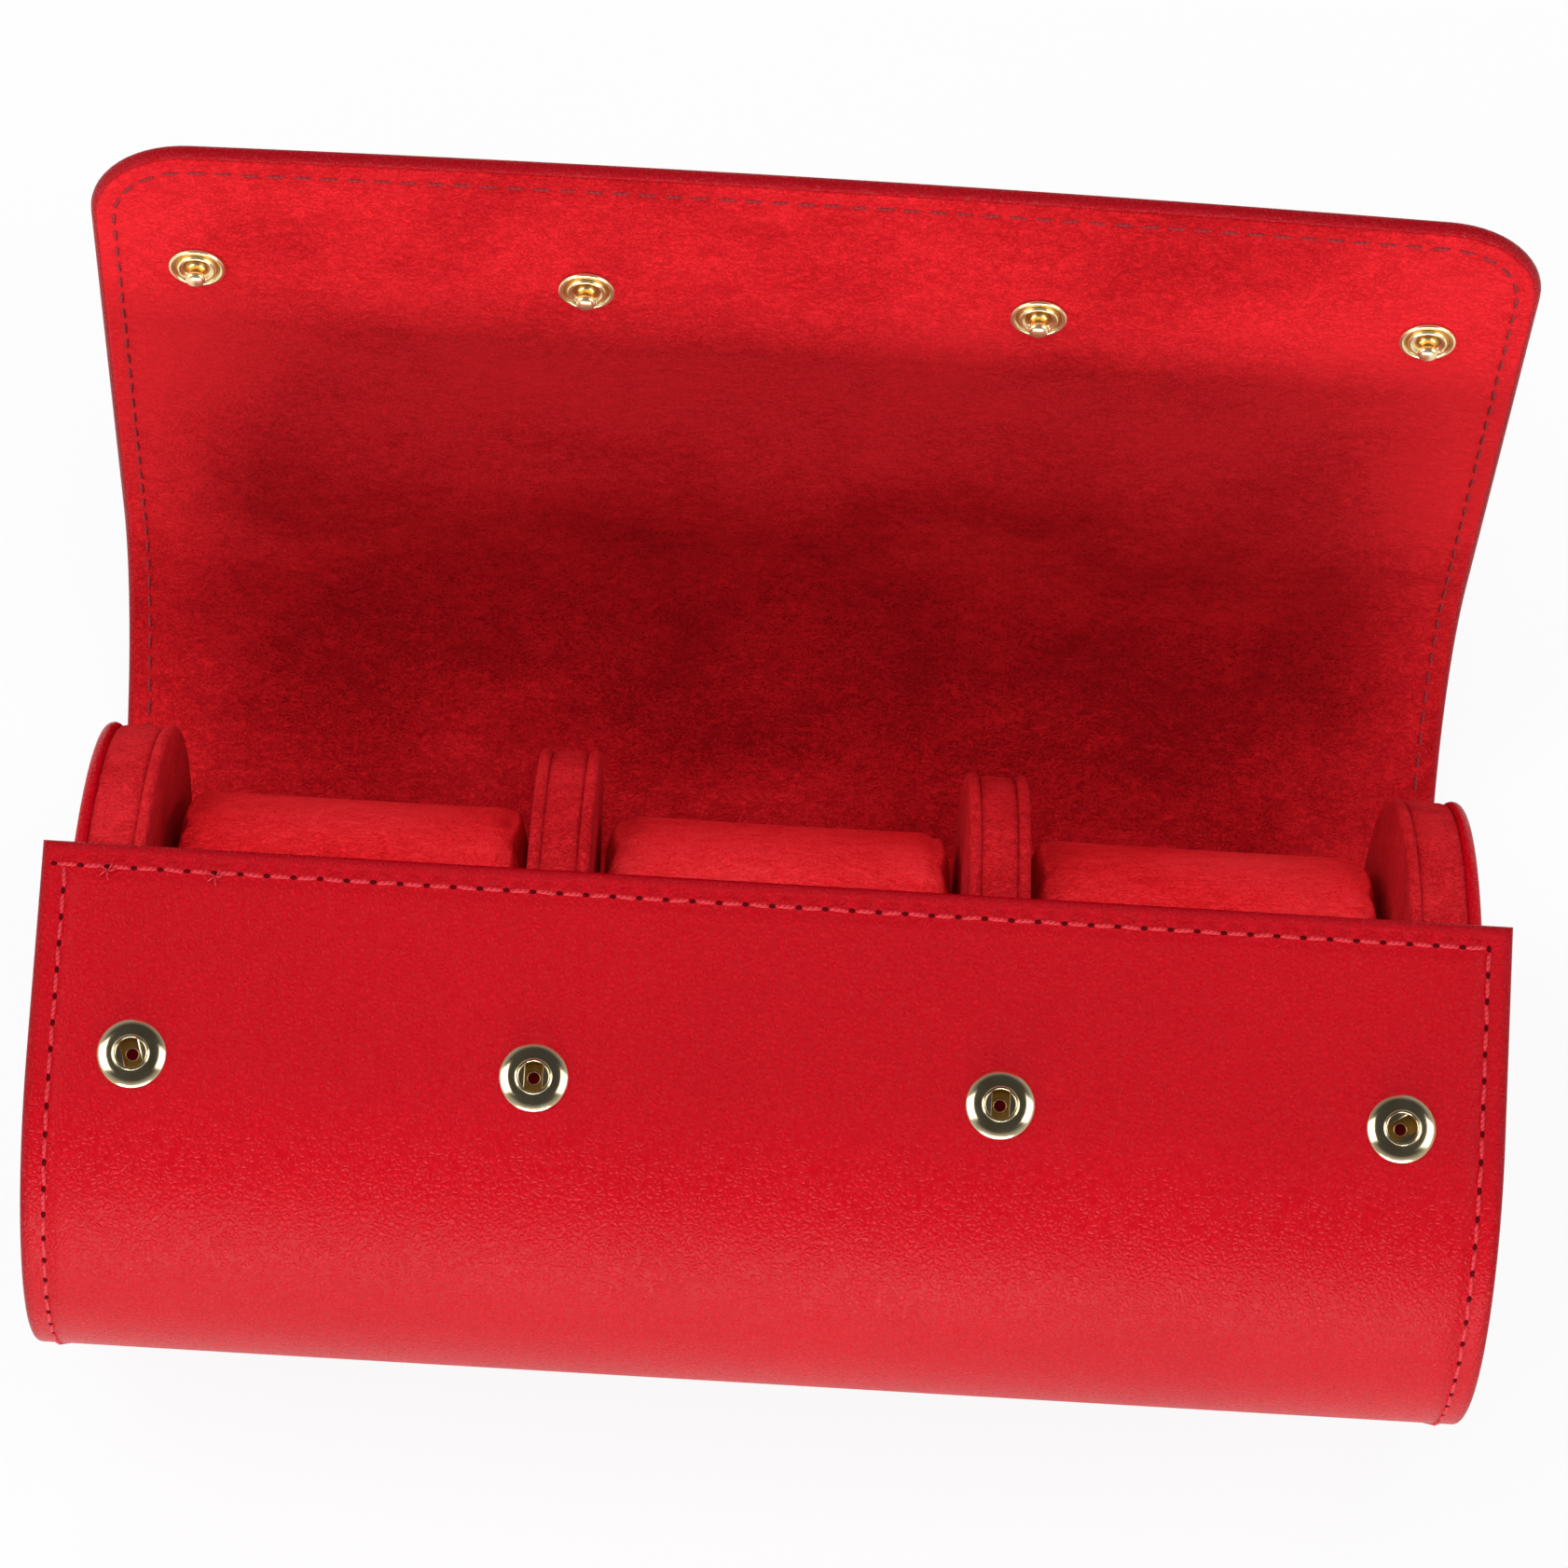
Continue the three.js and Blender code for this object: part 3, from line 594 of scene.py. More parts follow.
# Boards inside the wrap, the flap, the discs and the dividers
# Grey pressed paperboard 0.6 mm thick, glued between leather and velvet. Each stretch of the flap
# has its own board, which ends 1 mm short of the folds.
board_low = -1.4 * MM
board_high = -0.8 * MM
board_gap = 1 * MM
board_inset = 1.8 * MM
board_edge = 0.1 * MM
board_grey = "#8F8B84"
board_pale = "#A6A29A"
board_fibre_size = 0.5556

# Pressed paperboard looks dull and mottled, with short raised fibres.
pressed_board, tree, shader = start_material("grey_pressed_board", {
    "Roughness": 0.9, "Specular IOR Level": 0.2,
})
place = object_place(tree)
fibres = add(tree, "TexNoise", {
    "Vector": place, "Scale": 1 / board_fibre_size, "Detail": 6, "Roughness": 0.7,
})
tone = add(tree, "MixRGB", {"Fac": fibres, "Color1": srgb(board_grey), "Color2": srgb(board_pale)})
bump = add(tree, "Bump", {"Height": fibres, "Strength": 0.4, "Distance": 0.08 * MM})
link_up(shader, {"Base Color": tone, "Normal": bump})

flat_board = flat_sheet("board_cut", roll_width - 2 * board_inset, board_inset, path_length - board_inset,
                        tip_corner_radius - board_inset, board_low, board_high, board_edge)
foot_row, back_row, upper_row, tip_row = stretches[1:]
board_pieces = [
    ("board_foot_front", fold_1 + board_gap, foot_row[2], foot_row, "flap_foot_board"),
    ("board_foot_rear", back_row[1], fold_2 - board_gap, back_row, None),
    ("board_back_low", fold_2 + board_gap, back_row[2], back_row, "flap_back_board"),
    ("board_back_high", upper_row[1], fold_3 - board_gap, upper_row, None),
    ("board_upper_low", fold_3 + board_gap, upper_row[2], upper_row, "flap_upper_board"),
    ("board_upper_high", tip_row[1], fold_4 - board_gap, tip_row, None),
    ("board_tip", fold_4 + board_gap, None, tip_row, "flap_tip_board"),
]
for name, low, high, row, node in board_pieces:
    piece = stretch_of(flat_board, name, low, high)
    curl(piece)
    piece.data.materials.append(pressed_board)
    if node:
        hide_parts(node)
    follow(piece, row[3], row[4])
bpy.data.objects.remove(flat_board)
core_nodes = [f"{disc}_{side}_core" for disc in ("end_disc", "divider") for side in ("left", "right")]
for node in ["wrap_base_board", "wrap_front_board"] + core_nodes:
    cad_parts[node].material_slots[0].material = pressed_board


# Top-stitching round the whole sheet
# Polyester thread 0.6 mm thick, locked in stitches 3.7 mm apart, 3.4 mm inside the edge. It shows on the
# leather and on the velvet; on the velvet it is painted darker, as shade of the pile. Between two stitches a
# small flat dark spot stands for the needle hole: painted shade of the hole.
thread_radius = 0.3 * MM
stitch_pitch = 3.7 * MM
stitch_length = 2.9 * MM
stitch_bluntness = 0.55
stitch_end = 0.8
stitch_end_thinness = 0.85
stitch_rise = 0.05 * MM
stitch_dip = 0.16 * MM
stitch_lean = 0.9
twist_size = 1.25
hole_radius = 0.4 * MM
hole_shape = Vector((1.25, 0.85, 0.15))
hole_shade_size = 0.3333
thread_red = "#A8101A"
thread_pale = "#D03440"
# On the velvet side the same thread is painted darker: painted shade of the pile round it.
pile_shade_thread_red = "#700A11"
pile_shade_thread_pale = "#94141E"
hole_dark = "#3A0206"
hole_pale = "#5A060C"


def thread_material(name, deep, pale):
    """Twisted polyester thread: fine slanting strands with a slight shine."""
    material, tree, shader = start_material(name, {"Roughness": 0.55, "Specular IOR Level": 0.3})
    place = flat_place(tree)
    twist = add(tree, "TexWave", {"Vector": place, "Scale": 1 / twist_size, "Distortion": 1.2, "Detail": 1},
                bands_direction="DIAGONAL")
    tone = add(tree, "MixRGB", {"Fac": twist.outputs["Fac"], "Color1": srgb(deep), "Color2": srgb(pale)})
    bump = add(tree, "Bump", {"Height": twist.outputs["Fac"], "Strength": 0.6, "Distance": 0.08 * MM})
    link_up(shader, {"Base Color": tone, "Normal": bump})
    return material


sewing_thread = thread_material("red_polyester_thread", thread_red, thread_pale)
# The velvet-side copy of the thread is painted shade of the pile.
thread_with_pile_shade = thread_material("red_thread_with_pile_shade", pile_shade_thread_red, pile_shade_thread_pale)

# A needle hole is a small flat spot painted nearly black with a little red: painted shade of the hole.
needle_hole_shade, tree, shader = start_material("painted_needle_hole_shade", {
    "Roughness": 0.9, "Specular IOR Level": 0.05,
})
place = flat_place(tree)
shade = add(tree, "TexNoise", {"Vector": place, "Scale": 1 / hole_shade_size})
tone = add(tree, "MixRGB", {"Fac": shade, "Color1": srgb(hole_dark), "Color2": srgb(hole_pale)})
link_up(shader, {"Base Color": tone})


def seam_line(inset):
    """Places and directions of the stitches: front edge, both sides and the tip with its corners."""
    side = half_width - inset
    round_off = tip_corner_radius - inset
    top = path_length - inset
    steps = 12
    corners = [(-side, inset)]
    for end, first_angle in ((-1, 180), (1, 90)):
        for step in range(steps + 1):
            angle = math.radians(first_angle - 90 * step / steps)
            corners.append((end * (side - round_off) + round_off * math.cos(angle),
                            top - round_off + round_off * math.sin(angle)))
    corners += [(side, inset), (-side, inset)]
    points = []
    ahead = stitch_pitch / 2
    for (x0, s0), (x1, s1) in zip(corners, corners[1:]):
        length = math.hypot(x1 - x0, s1 - s0)
        while ahead <= length:
            share = ahead / length
            points.append((x0 + (x1 - x0) * share, s0 + (s1 - s0) * share, math.atan2(s1 - s0, x1 - x0)))
            ahead += stitch_pitch
        ahead -= length
    return points


def repeat(name, model, places):
    """One mesh that holds a copy of the model at each place."""
    points = []
    faces = []
    for place in places:
        start = len(points)
        points += [place @ vertex.co for vertex in model.data.vertices]
        faces += [[start + corner for corner in face.vertices] for face in model.data.polygons]
    mesh = bpy.data.meshes.new(name)
    mesh.from_pydata(points, [], faces)
    piece = bpy.data.objects.new(name, mesh)
    bpy.context.collection.objects.link(piece)
    return piece


deselect()
bpy.ops.mesh.primitive_uv_sphere_add(segments=8, ring_count=7, radius=1, rotation=(0, math.radians(90), 0))
stitch = bpy.context.object
apply_place()
for vertex in stitch.data.vertices:
    along, across, height = vertex.co
    full = math.copysign(abs(along) ** stitch_bluntness, along)
    thin = 1 if abs(along) < stitch_end else stitch_end_thinness
    vertex.co = (full * stitch_length / 2, across * thread_radius * thin,
                 height * thread_radius * thin + stitch_rise - stitch_dip * along * along)
deselect()
bpy.ops.mesh.primitive_uv_sphere_add(segments=8, ring_count=4, radius=hole_radius)
hole = bpy.context.object
for vertex in hole.data.vertices:
    vertex.co *= hole_shape

seam_points = seam_line(seam_inset)
# Where the sheet stands on the table, its thread is pressed into the leather.
table_start = fold_1 - base_flat - 8 * MM
table_end = fold_2 + 6 * MM
table_sink = 0.26 * MM
velvet_sink = 0.08 * MM
sides = [("outside", -sheet_thickness, True, sewing_thread), ("velvet", lining_high, False, thread_with_pile_shade)]
for name, low, high, bodies, bend in stretches:
    high = high or path_length
    for side, surface, under, thread in sides:
        stitches = []
        holes = []
        for index, (x, distance, angle) in enumerate(seam_points):
            if not low <= distance < high:
                continue
            on_table = table_start < distance < table_end
            height = surface + (table_sink if on_table else 0) if under else surface - velvet_sink
            lean = math.radians(((index * 37) % 11 - 5) * stitch_lean)
            flip = Matrix.Rotation(math.pi, 4, "X") if under else Matrix.Identity(4)
            at = Matrix.Translation((x, distance, height))
            stitches.append(at @ Matrix.Rotation(angle + lean, 4, "Z") @ flip)
            # A flat dark spot between two stitches is painted shade of the needle hole.
            if under:
                ahead = Vector((math.cos(angle), math.sin(angle), 0)) * stitch_pitch / 2
                at = Matrix.Translation(Vector((x, distance, surface)) + ahead)
                holes.append(at @ Matrix.Rotation(angle, 4, "Z") @ flip)
        for kind, model, places, material in (
            ("stitches", stitch, stitches, thread),
            ("needle_hole_shade", hole, holes, needle_hole_shade),
        ):
            if not places:
                continue
            piece = repeat(f"{kind}_{name}_{side}", model, places)
            curl(piece)
            take(piece)
            bpy.ops.object.shade_smooth()
            piece.data.materials.append(material)
            follow(piece, bodies, bend)
bpy.data.objects.remove(stitch)
bpy.data.objects.remove(hole)

# Cut thread ends fray out of the front seam near its left corner.
fibre_length = 1.26 * MM
fibre_radius = 0.12 * MM
frayed_places = [-78.2 * MM, -93.2 * MM]
fibres_per_end = 5
fibre_sideways = 0.25 * fibre_length
fibre_upwards = 0.3 * fibre_length
fibre_inset = seam_inset + 0.6 * MM
fibre_sink = 0.1 * MM
deselect()
bpy.ops.mesh.primitive_uv_sphere_add(segments=6, ring_count=9, radius=1)
fibre = bpy.context.object
for vertex in fibre.data.vertices:
    across, aside, along = vertex.co
    share = (along + 1) / 2
    vertex.co = (share * fibre_length, aside * fibre_radius + fibre_sideways * share * share,
                 across * fibre_radius + fibre_upwards * share * (1.4 - share))
face_outwards(fibre)
fibres = []
# They fan out all round, each turned a little unevenly.
for x in frayed_places:
    for number in range(fibres_per_end):
        fan = math.radians(number * 360 / fibres_per_end + (number * 53) % 31)
        at = Matrix.Translation((x, fibre_inset, -sheet_thickness - fibre_sink))
        flip = Matrix.Rotation(math.pi, 4, "X")
        fibres.append(at @ Matrix.Rotation(fan, 4, "Z") @ flip)
piece = repeat("frayed_thread_ends", fibre, fibres)
curl(piece)
take(piece)
bpy.ops.object.shade_smooth()
piece.data.materials.append(sewing_thread)
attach(piece, "wrap")
bpy.data.objects.remove(fibre)


# End discs and dividers
# Round boards padded a little and covered in velvet, with a velvet strip glued round the rim
# between two tucked seams. The end discs wear leather on the outside with a rolled edge.
disc_height = sheet_thickness + disc_fit + disc_radius
disc_y = -base_flat / 2
disc_steps = 96
face_thickness = 2.1 * MM
disc_leather_thickness = 2.2 * MM
face_crown = 0.35 * MM
rim_inset = 0.35 * MM
pad_edge = 0.85 * MM
# Shares of the pad's radius, and of the crown's height there.
crown_shape = [(0.9, 0.15), (0.7, 0.5), (0.4, 0.85), (0, 1)]
strip_depth = 1.2 * MM
strip_tuck = 0.55 * MM
strip_edge = 0.5 * MM
strip_shoulder = 0.12 * MM
strip_overlap = 0.1 * MM
point_weld = 0.001 * MM
disc_reds = ("#D6272F", "#AC0F17", "#6C040A")

disc_velvet = velvet_material("red_velvet_discs", object_place, disc_reds, False)
disc_leather = leather_material("red_disc_leather", object_place, False)


def turned(name, profile, steps):
    """Spins a profile of radius and height round Z, drawn point by point from its first one."""
    deselect()
    bpy.ops.mesh.primitive_plane_add(size=1 * MM, location=(0, 0, 0))
    piece = bpy.context.object
    piece.name = piece.data.name = name
    edit_all()
    bpy.ops.mesh.merge(type="CENTER")
    bpy.ops.mesh.select_all(action="SELECT")
    bpy.ops.transform.translate(value=(profile[0][0], 0, profile[0][1]))
    for (radius, height), (next_radius, next_height) in zip(profile, profile[1:]):
        bpy.ops.mesh.extrude_vertices_move(
            TRANSFORM_OT_translate={"value": (next_radius - radius, 0, next_height - height)})
    bpy.ops.mesh.select_all(action="SELECT")
    bpy.ops.mesh.spin(steps=steps, angle=math.tau, center=(0, 0, 0), axis=(0, 0, 1))
    bpy.ops.mesh.select_all(action="SELECT")
    bpy.ops.mesh.remove_doubles(threshold=point_weld)
    bpy.ops.mesh.normals_make_consistent(inside=False)
    bpy.ops.object.mode_set(mode="OBJECT")
    return piece


def round_profile(radius, low, high, edge, crown):
    """A pad from the middle of its back, round a rolled edge, to its crowned middle."""
    points = [(0, low), (radius - edge * 1.4, low)]
    centre = (low + high) / 2
    half = (high - low) / 2
    for step in range(0, 13):
        angle = math.radians(-90 + 15 * step)
        points.append((radius - edge + edge * math.cos(angle), centre + half * math.sin(angle)))
    return points + [(radius * out, high + crown * up) for out, up in crown_shape]


def disc_piece(name, profile, inner_x, outwards, material, node):
    """Stands a turned piece upright; its Z runs outwards along the roll from the disc's inner face."""
    piece = turned(name, profile, disc_steps)
    stand = Matrix.Rotation(math.radians(90) * outwards, 4, "Y")
    piece.data.transform(Matrix.Translation((inner_x * outwards, disc_y, disc_height)) @ stand)
    smooth(piece, sharp_angle=50)
    piece.data.materials.append(material)
    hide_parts(node)
    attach(piece, "wrap")


def strip_profile(radius, low, high):
    """A velvet strip round the rim, tucked in at both seams."""
    inner = radius - strip_depth
    tucked = radius - strip_tuck
    shoulder = radius - strip_shoulder
    return [
        (inner, low), (tucked, low), (shoulder, low + strip_edge), (radius, low + 2.2 * strip_edge),
        (radius, high - 2.2 * strip_edge), (shoulder, high - strip_edge), (tucked, high), (inner, high),
        (inner, low),
    ]


discs = [
    ("end_disc", half_width - end_disc_overhang - end_disc_thickness, end_disc_thickness,
     ("velvet", face_thickness, disc_velvet, "red_velvet"),
     ("leather", disc_leather_thickness, disc_leather, "red_leather")),
    ("divider", slot_width / 2, divider_thickness,
     ("inner_face", face_thickness, disc_velvet, "red_velvet"),
     ("outer_face", face_thickness, disc_velvet, "red_velvet")),
]
for disc, inner_x, thickness, near, far in discs:
    for side, outwards in (("left", -1), ("right", 1)):
        near_name, near_thickness, near_material, near_slot = near
        near_pad = [(radius, near_thickness - height) for radius, height in
                    round_profile(disc_radius, 0, near_thickness - face_crown, pad_edge, face_crown)]
        far_name, far_thickness, far_material, far_slot = far
        far_low = thickness - far_thickness
        far_pad = round_profile(disc_radius, far_low, thickness - face_crown, pad_edge, face_crown)
        strip = strip_profile(disc_radius - rim_inset, near_thickness - strip_overlap,
                              far_low + strip_overlap)
        for ending, profile, node, material, slot in (
            (f"{near_name}_pad", near_pad, near_name, near_material, near_slot),
            (f"{far_name}_pad", far_pad, far_name, far_material, far_slot),
            ("rim_band", strip, "rim_strip", disc_velvet, "red_velvet"),
        ):
            disc_piece(f"{disc}_{side}_{ending}", profile, inner_x, outwards, material,
                       f"{disc}_{side}_{node}")


# Watch pillows
# Three loose pillows of soft foam in velvet covers. They sit slanted between the dividers, with
# a sewn edge round both ends and a slit at the back that lets them squeeze into a bracelet.
pillow_length = 1.6818 * disc_radius
pillow_depth = 1.2727 * disc_radius
pillow_play = 2.3 * MM
pillow_width = slot_width - pillow_play
pillow_slant = math.radians(30)
pillow_squareness = 3
pillow_facets = 24
pillow_cuts = 15
end_dome = 0.012
end_rim = 1.004
end_flare = 0.012
cloth_step = 2 * MM
start_size = 0.98
swell_frames = 20
swell_pressure = 4
swell_limit = 0.8 * MM
seam_share = 0.9
seam_width = 0.7 * MM
seam_depth = 0.45 * MM
seam_from = 0.36 * pillow_depth
# How many puckers go round the seam, how deep they are and where they start.
seam_puckers = [(34, 0.35, 0), (13, 0.2, 1)]
pillow_reds = ("#F83941", "#E61A23", "#960911")
foam_cream = "#D8CDB0"
foam_pale = "#EFE7D2"
foam_cell_size = 0.625

pillow_velvet = velvet_material("red_velvet_pillows", object_place, pillow_reds, False)
# Cut foam looks cream and dull, with small open cells.
soft_foam, tree, shader = start_material("cream_polyurethane_foam", {
    "Roughness": 0.95, "Specular IOR Level": 0.15,
})
place = object_place(tree)
cells = add(tree, "TexVoronoi", {"Vector": place, "Scale": 1 / foam_cell_size})
tone = add(tree, "MixRGB", {"Fac": cells, "Color1": srgb(foam_cream), "Color2": srgb(foam_pale)})
bump = add(tree, "Bump", {"Height": cells, "Strength": 0.6, "Distance": 0.3 * MM})
link_up(shader, {"Base Color": tone, "Normal": bump})


def pillow_ring(angle):
    """A point of the pillow's rounded cross-section."""
    share = 2 / pillow_squareness
    y = math.copysign(abs(math.cos(angle)) ** share, math.cos(angle)) * pillow_length / 2
    z = math.copysign(abs(math.sin(angle)) ** share, math.sin(angle)) * pillow_depth / 2
    return y, z


# Each pillow is let down until a corner of its slanted shape meets the wrap.
rooms = []
for facet in range(pillow_facets):
    y, z = pillow_ring(math.tau * facet / pillow_facets)
    back = y * math.cos(pillow_slant) - z * math.sin(pillow_slant)
    up = y * math.sin(pillow_slant) + z * math.cos(pillow_slant)
    rooms.append(up + math.sqrt((wrap_radius - disc_fit) ** 2 - back ** 2))
pillow_height = disc_height - min(rooms)

deselect()
bpy.ops.mesh.primitive_cube_add(size=2, location=(0, 0, 0))
model_pillow = bpy.context.object
edit_all()
bpy.ops.mesh.subdivide(number_cuts=pillow_cuts)
bpy.ops.object.mode_set(mode="OBJECT")
for vertex in model_pillow.data.vertices:
    across, y, z = vertex.co
    ring = max(abs(y), abs(z))
    angle = math.atan2(z, y)
    ring_y, ring_z = pillow_ring(angle)
    if abs(across) > 0.999:
        dome = 1 - end_dome * ring ** 4
        size = ring * end_rim
        x = math.copysign(dome, across)
    else:
        x = across * (1 - end_dome)
        size = 1 + end_flare * abs(across) ** 8
    vertex.co = (x * pillow_width / 2 * start_size, ring_y * size * start_size, ring_z * size * start_size)
face_outwards(model_pillow)
remesh = model_pillow.modifiers.new("even_cloth", "REMESH")
remesh.mode = "VOXEL"
remesh.voxel_size = cloth_step
remesh.use_smooth_shade = True
bpy.ops.object.modifier_apply(modifier=remesh.name)
resting = [vertex.co.copy() for vertex in model_pillow.data.vertices]
swelling = model_pillow.modifiers.new("swelling", "CLOTH")
swelling.settings.use_pressure = True
swelling.settings.uniform_pressure_force = swell_pressure
swelling.settings.quality = 6
swelling.settings.effector_weights.gravity = 0
swelling.point_cache.frame_start = 1
swelling.point_cache.frame_end = swell_frames
for number in range(1, swell_frames + 1):
    bpy.context.scene.frame_set(number)
bpy.ops.object.modifier_apply(modifier=swelling.name)
for vertex, start in zip(model_pillow.data.vertices, resting):
    moved = vertex.co - start
    if moved.length > swell_limit:
        moved *= swell_limit / moved.length
    vertex.co = start + moved
bpy.context.scene.frame_set(1)
finer = model_pillow.modifiers.new("finer", "SUBSURF")
finer.levels = finer.render_levels = 1
bpy.ops.object.modifier_apply(modifier=finer.name)
# The thread of each end seam pulls the velvet in, with small puckers round it.
seam_x = pillow_width / 2 * seam_share
for vertex in model_pillow.data.vertices:
    x, y, z = vertex.co
    near = math.exp(-((abs(x) - seam_x) / seam_width) ** 2)
    angle = math.atan2(z, y)
    puckers = 1 + sum(depth * math.sin(count * angle + start) for count, depth, start in seam_puckers)
    length = math.hypot(y, z)
    if length > seam_from:
        pull = seam_depth * near * puckers
        vertex.co.y -= pull * y / length
        vertex.co.z -= pull * z / length
for face in model_pillow.data.polygons:
    face.use_smooth = True
model_pillow.data.materials.clear()
model_pillow.data.materials.append(pillow_velvet)
slot_pitch = slot_width + divider_thickness
for side, x in (("left", -slot_pitch), ("middle", 0), ("right", slot_pitch)):
    piece = copy_of(model_pillow, f"pillow_{side}_cushion")
    spin = math.pi if side == "middle" else 0
    piece.data.transform(Matrix.Translation((x, disc_y, pillow_height))
                         @ Matrix.Rotation(pillow_slant, 4, "X") @ Matrix.Rotation(spin, 4, "Z"))
    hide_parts(f"pillow_{side}_cover")
    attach(piece, f"pillow_{side}")
    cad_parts[f"pillow_{side}_foam"].material_slots[0].material = soft_foam
bpy.data.objects.remove(model_pillow)


# Snaps
# Pressed brass press studs with a pale champagne gold plating. Each socket on the front panel has
# a domed flange, a raised ring with a two-bar spring and an eyelet post. Each stud on the flap has
# a rolled flange, a collar and a ball, and is held by a domed cap on the leather.
stud_distance = fold_4 + stud_place
snap_steps = 64
gold_pale = "#F6E9C8"
gold_warm = "#EAD29C"
shaded_gold_pale = "#D9A850"
shaded_gold_warm = "#B07A2A"
satin_gold_pale = "#FBE8BE"
satin_gold_warm = "#F0D596"
wear_size = 2
inner_wear_size = 1.25
satin_wear_size = 5
scratch_size = 0.25

# Plating gives clear reflections in pale gold, a little duller where it has rubbed.
plated_brass, tree, shader = start_material("champagne_gold_plating", {"Metallic": 1})
place = object_place(tree)
wear = add(tree, "TexNoise", {"Vector": place, "Scale": 1 / wear_size, "Detail": 4})
tone = add(tree, "MixRGB", {"Fac": wear, "Color1": srgb(gold_warm), "Color2": srgb(gold_pale)})
dull = add(tree, "MapRange", {"Value": wear, "To Min": 0.1, "To Max": 0.24})
scratches = add(tree, "TexNoise", {"Vector": place, "Scale": 1 / scratch_size, "Detail": 3})
bump = add(tree, "Bump", {"Height": scratches, "Strength": 0.06, "Distance": 0.02 * MM})
link_up(shader, {"Base Color": tone, "Roughness": dull, "Normal": bump})

# Inside rings, grooves and round the stud's neck the gold is painted deeper and browner: painted shade of
# the recesses.
shaded_gold, tree, shader = start_material("gold_painted_shade_inside", {"Metallic": 0.85, "Roughness": 0.3})
place = object_place(tree)
wear = add(tree, "TexNoise", {"Vector": place, "Scale": 1 / inner_wear_size, "Detail": 3})
tone = add(tree, "MixRGB", {"Fac": wear, "Color1": srgb(shaded_gold_warm), "Color2": srgb(shaded_gold_pale)})
link_up(shader, {"Base Color": tone})

# Studs and posts have a satin plating with soft, wide highlights.
satin_gold, tree, shader = start_material("satin_gold_studs", {"Metallic": 0.88})
place = object_place(tree)
wear = add(tree, "TexNoise", {"Vector": place, "Scale": 1 / satin_wear_size, "Detail": 1})
tone = add(tree, "MixRGB", {"Fac": wear, "Color1": srgb(satin_gold_warm), "Color2": srgb(satin_gold_pale)})
dull = add(tree, "MapRange", {"Value": wear, "To Min": 0.2, "To Max": 0.3})
link_up(shader, {"Base Color": tone, "Roughness": dull})


def in_mm(profile):
    return [(radius * MM, height * MM) for radius, height in profile]


socket_profile = in_mm([
    (1.1, -1.6), (2.6, -1.6), (2.6, 0.02), (4.74, 0.02), (4.82, 0.07), (4.78, 0.14), (4.64, 0.27),
    (4.46, 0.42), (4.24, 0.58), (3.98, 0.73), (3.68, 0.86), (3.34, 0.95), (2.97, 1.01), (2.6, 1.04),
    (2.5, 1.09), (2.42, 1.19), (2.3, 1.25), (2.17, 1.22), (2.09, 1.12), (2.06, 0.98), (2.06, -1.35),
    (1.1, -1.35), (1.1, -1.6),
])
post_profile = in_mm([
    (0, -3.15), (2.75, -3.15), (3.0, -2.9), (3.0, -2.65), (1.0, -2.65), (1.0, -1.6), (1.05, -1.42),
    (1.02, -1.31), (0.93, -1.27), (0.83, -1.32), (0.78, -1.7), (0, -1.75),
])
stud_profile = in_mm([
    (0, 0), (3.75, 0), (3.96, 0.1), (4.04, 0.28), (4.02, 0.46), (3.9, 0.6), (3.72, 0.66), (3.54, 0.64),
    (3.38, 0.54), (3.28, 0.4), (3.16, 0.3), (3.0, 0.28), (2.88, 0.36), (2.82, 0.54), (2.74, 0.72),
    (2.6, 0.84), (2.44, 0.86), (2.28, 0.78), (2.16, 0.62), (1.9, 0.46), (1.5, 0.4), (1.22, 0.5), (1.08, 0.8),
    (1.02, 1.78), (1.14, 1.87), (1.32, 1.98), (1.45, 2.15), (1.5, 2.34), (1.46, 2.53), (1.34, 2.72),
    (1.14, 2.9), (0.86, 3.03), (0.5, 3.1), (0.2, 3.13), (0, 3.13),
])
recess_radius = 2.07 * MM
recess_top = 0.9 * MM
groove_radius = 3.3 * MM
groove_top = 0.47 * MM
neck_radius = 1.13 * MM
neck_top = 1.85 * MM
eyelet_radius = 0.76 * MM
eyelet_floor = -1.6 * MM
eyelet_bottom = -2 * MM
cap_profile = in_mm([
    (0, 0.05), (4.8, 0.05), (5.0, 0.2), (4.95, 0.42), (4.6, 0.72), (4.0, 0.96), (3.0, 1.18), (1.6, 1.31),
    (0, 1.35),
])
post_steps = 32


def lies_inside(kind, radius, height):
    """Whether a face of a snap piece lies in its ring, its eyelet, its groove or round its neck, where its
    colour is painted shade.
    """
    if kind == "socket":
        return radius < recess_radius and height < recess_top
    if kind == "post":
        return radius < eyelet_radius and eyelet_bottom < height < eyelet_floor
    if kind == "stud":
        return radius < groove_radius and height < (neck_top if radius < neck_radius else groove_top)
    return False


